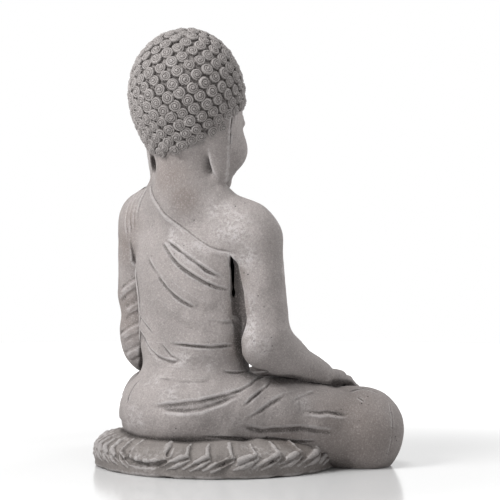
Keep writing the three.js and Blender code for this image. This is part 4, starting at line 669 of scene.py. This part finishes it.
# ======================================================================
# material: cast stone
# ======================================================================
def stone(name, base=(.192, .174, .168), pale=(.385, .37, .37), dark=(.035, .029, .027), bloom=.5, rough=.82, pit=1.0, cv=1.0):
    m = bpy.data.materials.new(name); m.use_nodes = True
    nt = m.node_tree; N = nt.nodes; L = nt.links
    bsdf = N['Principled BSDF']
    geo = N.new('ShaderNodeNewGeometry')
    def noise(scale, detail=4, rough_=.55, dist=0.0):
        n = N.new('ShaderNodeTexNoise'); n.inputs['Scale'].default_value = scale; n.inputs['Detail'].default_value = detail
        n.inputs['Roughness'].default_value = rough_; n.inputs['Distortion'].default_value = dist
        L.new(geo.outputs['Position'], n.inputs['Vector']); return n
    def ramp(src, a, b, ca=0.0, cb=1.0):
        r = N.new('ShaderNodeMapRange'); r.inputs['From Min'].default_value = a; r.inputs['From Max'].default_value = b
        r.inputs['To Min'].default_value = ca; r.inputs['To Max'].default_value = cb; r.interpolation_type = 'SMOOTHSTEP'
        L.new(src, r.inputs['Value']); return r.outputs['Result']
    def math_(op, a, b):
        n = N.new('ShaderNodeMath'); n.operation = op
        for i, v in enumerate((a, b)):
            if isinstance(v, (int, float)): n.inputs[i].default_value = v
            else: L.new(v, n.inputs[i])
        return n.outputs[0]
    def mix(fac, a, b):
        n = N.new('ShaderNodeMix'); n.data_type = 'RGBA'
        if isinstance(fac, (int, float)): n.inputs[0].default_value = fac
        else: L.new(fac, n.inputs[0])
        for i, v in ((6, a), (7, b)):
            if isinstance(v, tuple): n.inputs[i].default_value = (*v, 1)
            else: L.new(v, n.inputs[i])
        return n.outputs[2]
    def attr(k):
        n = N.new('ShaderNodeAttribute'); n.attribute_name = k; return n.outputs['Fac']
    big = noise(14, 4, .6, .6); mid = noise(55, 5, .62, .3); fine = noise(330, 4, .7); grain = noise(680, 3, .75)
    col = mix(ramp(big.outputs['Fac'], .35, .68), tuple(c * .90 for c in base), tuple(c * 1.12 for c in base))
    col = mix(math_('MULTIPLY', ramp(mid.outputs['Fac'], .45, .72), .45), col, tuple(c * 1.25 for c in base))
    # pale bloom in broken patches
    bl = math_('MULTIPLY', ramp(mid.outputs['Fac'], .48, .66), ramp(fine.outputs['Fac'], .42, .62))
    bl2 = math_('MULTIPLY', bl, ramp(noise(9, 3, .5, .8).outputs['Fac'], .50, .66))
    bl2 = math_('MAXIMUM', bl2, math_('MULTIPLY', ramp(fine.outputs['Fac'], .40, .58), math_('MULTIPLY', ramp(attr('pale'), .05, .8), ramp(mid.outputs['Fac'], .35, .6))))
    col = mix(math_('MULTIPLY', bl2, bloom), col, pale)
    # darker brown over the spotted patches: partly stain, partly painted shadow
    col = mix(math_('MULTIPLY', ramp(attr('stain'), .15, .95), math_('ADD', math_('MULTIPLY', ramp(big.outputs['Fac'], .3, .6), .35), .35)), col, (base[0] * .66, base[1] * .60, base[2] * .56))
    # pale raised edges; painted shade (ambient occlusion) darkens hollows, fold creases, the arm clefts and sheltered
    # places
    ridge = ramp(attr('cav1'), -.015, -.09)
    col = mix(math_('MULTIPLY', ridge, .35), col, pale)
    painted_shade = math_('MAXIMUM', math_('MULTIPLY', ramp(attr('cav1'), .03 * cv, .22 * cv), .6 if cv == 1 else .85), math_('MULTIPLY', ramp(attr('cav2'), .14, .95), .72))
    painted_shade = math_('MAXIMUM', painted_shade, math_('MULTIPLY', ramp(attr('cav3'), .6, 4.0), .55))
    painted_shade = math_('MAXIMUM', painted_shade, math_('MULTIPLY', ramp(attr('shelter'), .30, .95), .85))
    painted_shade = math_('MULTIPLY', painted_shade, ramp(fine.outputs['Fac'], .25, .6, .65, 1.0))
    # painted shade in the clefts between the arms and the trunk, and in the fold creases
    painted_shade = math_('MAXIMUM', painted_shade, math_('MULTIPLY', ramp(attr('cleft'), .1, .9), .72))
    painted_shade = math_('MAXIMUM', painted_shade, math_('MULTIPLY', ramp(attr('crease'), .08, .7), ramp(mid.outputs['Fac'], .3, .6, .35, .85)))
    col = mix(painted_shade, col, dark)
    # speckle and pinholes
    col = mix(math_('MULTIPLY', ramp(grain.outputs['Fac'], .5, .70), .55), col, tuple(c * 1.7 for c in base))
    col = mix(math_('MULTIPLY', ramp(grain.outputs['Fac'], .48, .28), .48), col, tuple(c * .5 for c in base))
    col = mix(math_('MULTIPLY', ramp(fine.outputs['Fac'], .47, .33), .30), col, tuple(c * .62 for c in base))
    vor = N.new('ShaderNodeTexVoronoi'); vor.inputs['Scale'].default_value = 210; vor.inputs['Randomness'].default_value = 1.0
    L.new(geo.outputs['Position'], vor.inputs['Vector'])
    sel = N.new('ShaderNodeSeparateColor'); L.new(vor.outputs['Color'], sel.inputs[0])
    size = ramp(math_('ADD', sel.outputs[0], math_('MULTIPLY', attr('pits'), .34)), .74, 1.0, 0.0, .17)
    hole = math_('MULTIPLY', ramp(math_('SUBTRACT', size, vor.outputs['Distance']), .0, .05), math_('MAXIMUM', ramp(noise(22, 3, .5).outputs['Fac'], .46, .60), ramp(attr('pits'), .1, .5)))
    hole = math_('MULTIPLY', hole, pit)
    col = mix(math_('MULTIPLY', hole, .85), col, tuple(c * .5 for c in dark))
    L.new(col, bsdf.inputs['Base Color'])
    L.new(math_('ADD', math_('MULTIPLY', fine.outputs['Fac'], .16), rough - .08), bsdf.inputs['Roughness'])
    bsdf.inputs['Specular IOR Level'].default_value = .35
    # relief
    hgt = math_('ADD', math_('MULTIPLY', fine.outputs['Fac'], .00055), math_('MULTIPLY', grain.outputs['Fac'], .00022))
    hgt = math_('ADD', hgt, math_('MULTIPLY', mid.outputs['Fac'], .0016))
    hgt = math_('SUBTRACT', hgt, math_('MULTIPLY', hole, .0007))
    bp = N.new('ShaderNodeBump'); bp.inputs['Strength'].default_value = 1.0; bp.inputs['Distance'].default_value = 1.0
    L.new(hgt, bp.inputs['Height']); L.new(bp.outputs['Normal'], bsdf.inputs['Normal'])
    return m
M_SKIN = stone('stone_skin'); M_ROBE = stone('stone_robe'); M_HAIR = stone('stone_hair', base=(.146, .134, .129), pale=(.28, .265, .26), bloom=.7, cv=.4); M_BASE = stone('stone_base', base=(.128, .115, .108), bloom=.6)
def steel(name):
    m = bpy.data.materials.new(name); m.use_nodes = True; nt = m.node_tree; N = nt.nodes; L = nt.links; b = N['Principled BSDF']
    b.inputs['Metallic'].default_value = 1.0
    g = N.new('ShaderNodeNewGeometry'); n = N.new('ShaderNodeTexNoise'); n.inputs['Scale'].default_value = 400; n.inputs['Detail'].default_value = 4
    L.new(g.outputs['Position'], n.inputs['Vector'])
    r = N.new('ShaderNodeMapRange'); r.inputs['To Min'].default_value = .25; r.inputs['To Max'].default_value = .5; L.new(n.outputs['Fac'], r.inputs['Value']); L.new(r.outputs['Result'], b.inputs['Roughness'])
    mx = N.new('ShaderNodeMix'); mx.data_type = 'RGBA'; mx.inputs[6].default_value = (.42, .43, .45, 1); mx.inputs[7].default_value = (.6, .6, .62, 1)
    L.new(n.outputs['Fac'], mx.inputs[0]); L.new(mx.outputs[2], b.inputs['Base Color'])
    bp = N.new('ShaderNodeBump'); bp.inputs['Distance'].default_value = .0002; L.new(n.outputs['Fac'], bp.inputs['Height']); L.new(bp.outputs['Normal'], b.inputs['Normal'])
    return m
M_STEEL = steel('dowel_steel_mat')
PIECES = [(torso, M_ROBE, 'torso', 'robe_stone'), (legs, M_ROBE, 'crossed_legs', 'robe_stone'), (rarm, M_SKIN, 'right_arm', 'skin_stone'),
          (larm, M_ROBE, 'left_arm', 'robe_stone'), (head, M_SKIN, 'head', 'skin_stone'), (hair, M_HAIR, 'hair_cap', 'hair_stone'), (base, M_BASE, 'lotus_cushion', 'cushion_stone')]
BODY = list(frame['bodies'])[0]
for ob, m, node, slot in PIECES:
    ob.data.materials.append(m)
    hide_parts(node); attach(ob, BODY)
for n, o in frame['nodes'].items():
    if 'dowel' in n:
        o.data.materials.clear(); o.data.materials.append(M_STEEL)

# ======================================================================
# studio
# ======================================================================
def floor_mat():
    m = bpy.data.materials.new('floor_white'); m.use_nodes = True; N = m.node_tree.nodes; L = m.node_tree.links; b = N['Principled BSDF']
    b.inputs['Base Color'].default_value = (.62, .615, .62, 1); b.inputs['Roughness'].default_value = .15; b.inputs['Specular IOR Level'].default_value = .7
    g = N.new('ShaderNodeNewGeometry'); ln = N.new('ShaderNodeVectorMath'); ln.operation = 'LENGTH'; L.new(g.outputs['Position'], ln.inputs[0])
    # base colour greyer near the figure: painted shade on the floor beneath it, fading to white outward
    r = N.new('ShaderNodeMapRange'); r.interpolation_type = 'SMOOTHSTEP'
    for k, v in (('From Min', .25), ('From Max', .62), ('To Min', .52), ('To Max', .98)): r.inputs[k].default_value = v
    L.new(ln.outputs['Value'], r.inputs['Value'])
    cc = N.new('ShaderNodeCombineColor')
    for k in range(3): L.new(r.outputs['Result'], cc.inputs[k])
    L.new(cc.outputs[0], b.inputs['Base Color'])
    # emission rising toward the rim, so the floor glows into the white backdrop
    e = N.new('ShaderNodeMapRange'); e.interpolation_type = 'SMOOTHSTEP'
    for k, v in (('From Min', .40), ('From Max', .95), ('To Min', .0), ('To Max', .35)): e.inputs[k].default_value = v
    L.new(ln.outputs['Value'], e.inputs['Value']); L.new(e.outputs['Result'], b.inputs['Emission Strength']); b.inputs['Emission Color'].default_value = (1, 1, 1, 1)
    return m
sc = bpy.context.scene
bpy.ops.mesh.primitive_circle_add(vertices=96, radius=1.45, fill_type='NGON', location=(0, 0, 0)); floor = bpy.context.object; floor.name = 'studio_floor'; floor.data.materials.append(floor_mat())
w = sc.world or bpy.data.worlds.new('w'); sc.world = w; w.use_nodes = True
w.node_tree.nodes['Background'].inputs[0].default_value = (1, 1, 1, 1); w.node_tree.nodes['Background'].inputs[1].default_value = 1.0
wt, wl = w.node_tree.nodes, w.node_tree.links
tc = wt.new('ShaderNodeTexCoord'); sx = wt.new('ShaderNodeSeparateXYZ'); mr = wt.new('ShaderNodeMapRange'); mr.interpolation_type = 'SMOOTHSTEP'
wl.new(tc.outputs['Generated'], sx.inputs[0]); wl.new(sx.outputs['Z'], mr.inputs['Value'])
for k_, v_ in (('From Min', .24), ('From Max', .55), ('To Min', 1.0), ('To Max', .38)): mr.inputs[k_].default_value = v_
wl.new(mr.outputs['Result'], wt['Background'].inputs[0])
sc.view_settings.view_transform = 'Standard'
def area(name, az, el, dist, size, power, aim=(0, 0, .2)):
    a, e = math.radians(az), math.radians(el)
    p = Vector(aim) + dist * Vector((math.sin(a) * math.cos(e), -math.cos(a) * math.cos(e), math.sin(e)))
    l = bpy.data.lights.new(name, 'AREA'); l.size = size; l.energy = power; l.shape = 'DISK'
    o = bpy.data.objects.new(name, l); sc.collection.objects.link(o); o.location = p
    o.rotation_euler = (Vector(aim) - p).to_track_quat('-Z', 'Y').to_euler()
    return o
area('key', 218 - 55, 38, 1.8, .8, 44); area('top', 218 - 20, 78, 1.8, .8, 20); area('rim', 218 + 118, 28, 2.2, .9, 21)
# camera: behind the figure, to its right
TH, EL, D, S = math.radians(38), math.radians(2.5), 2.3, 1.032e3
X0, YG = 188.0, 467.9
r = Vector((-math.cos(TH), -math.sin(TH), 0)); fw = Vector((math.sin(TH) * math.cos(EL), -math.cos(TH) * math.cos(EL), -math.sin(EL))); up = r.cross(fw)
aim = Vector((0, FY * .001, 0)) + r * ((250 - X0) / S) + up * ((YG - 250) / S)
cam = bpy.data.cameras.new('camera'); co = bpy.data.objects.new('camera', cam); sc.collection.objects.link(co); sc.camera = co
cam.sensor_width = 36; cam.lens = S * D / 500 * 36; cam.clip_end = 50
p = aim - fw * D
co.matrix_world = Matrix(((r.x, up.x, -fw.x, p.x), (r.y, up.y, -fw.y, p.y), (r.z, up.z, -fw.z, p.z), (0, 0, 0, 1)))

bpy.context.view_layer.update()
say('done')
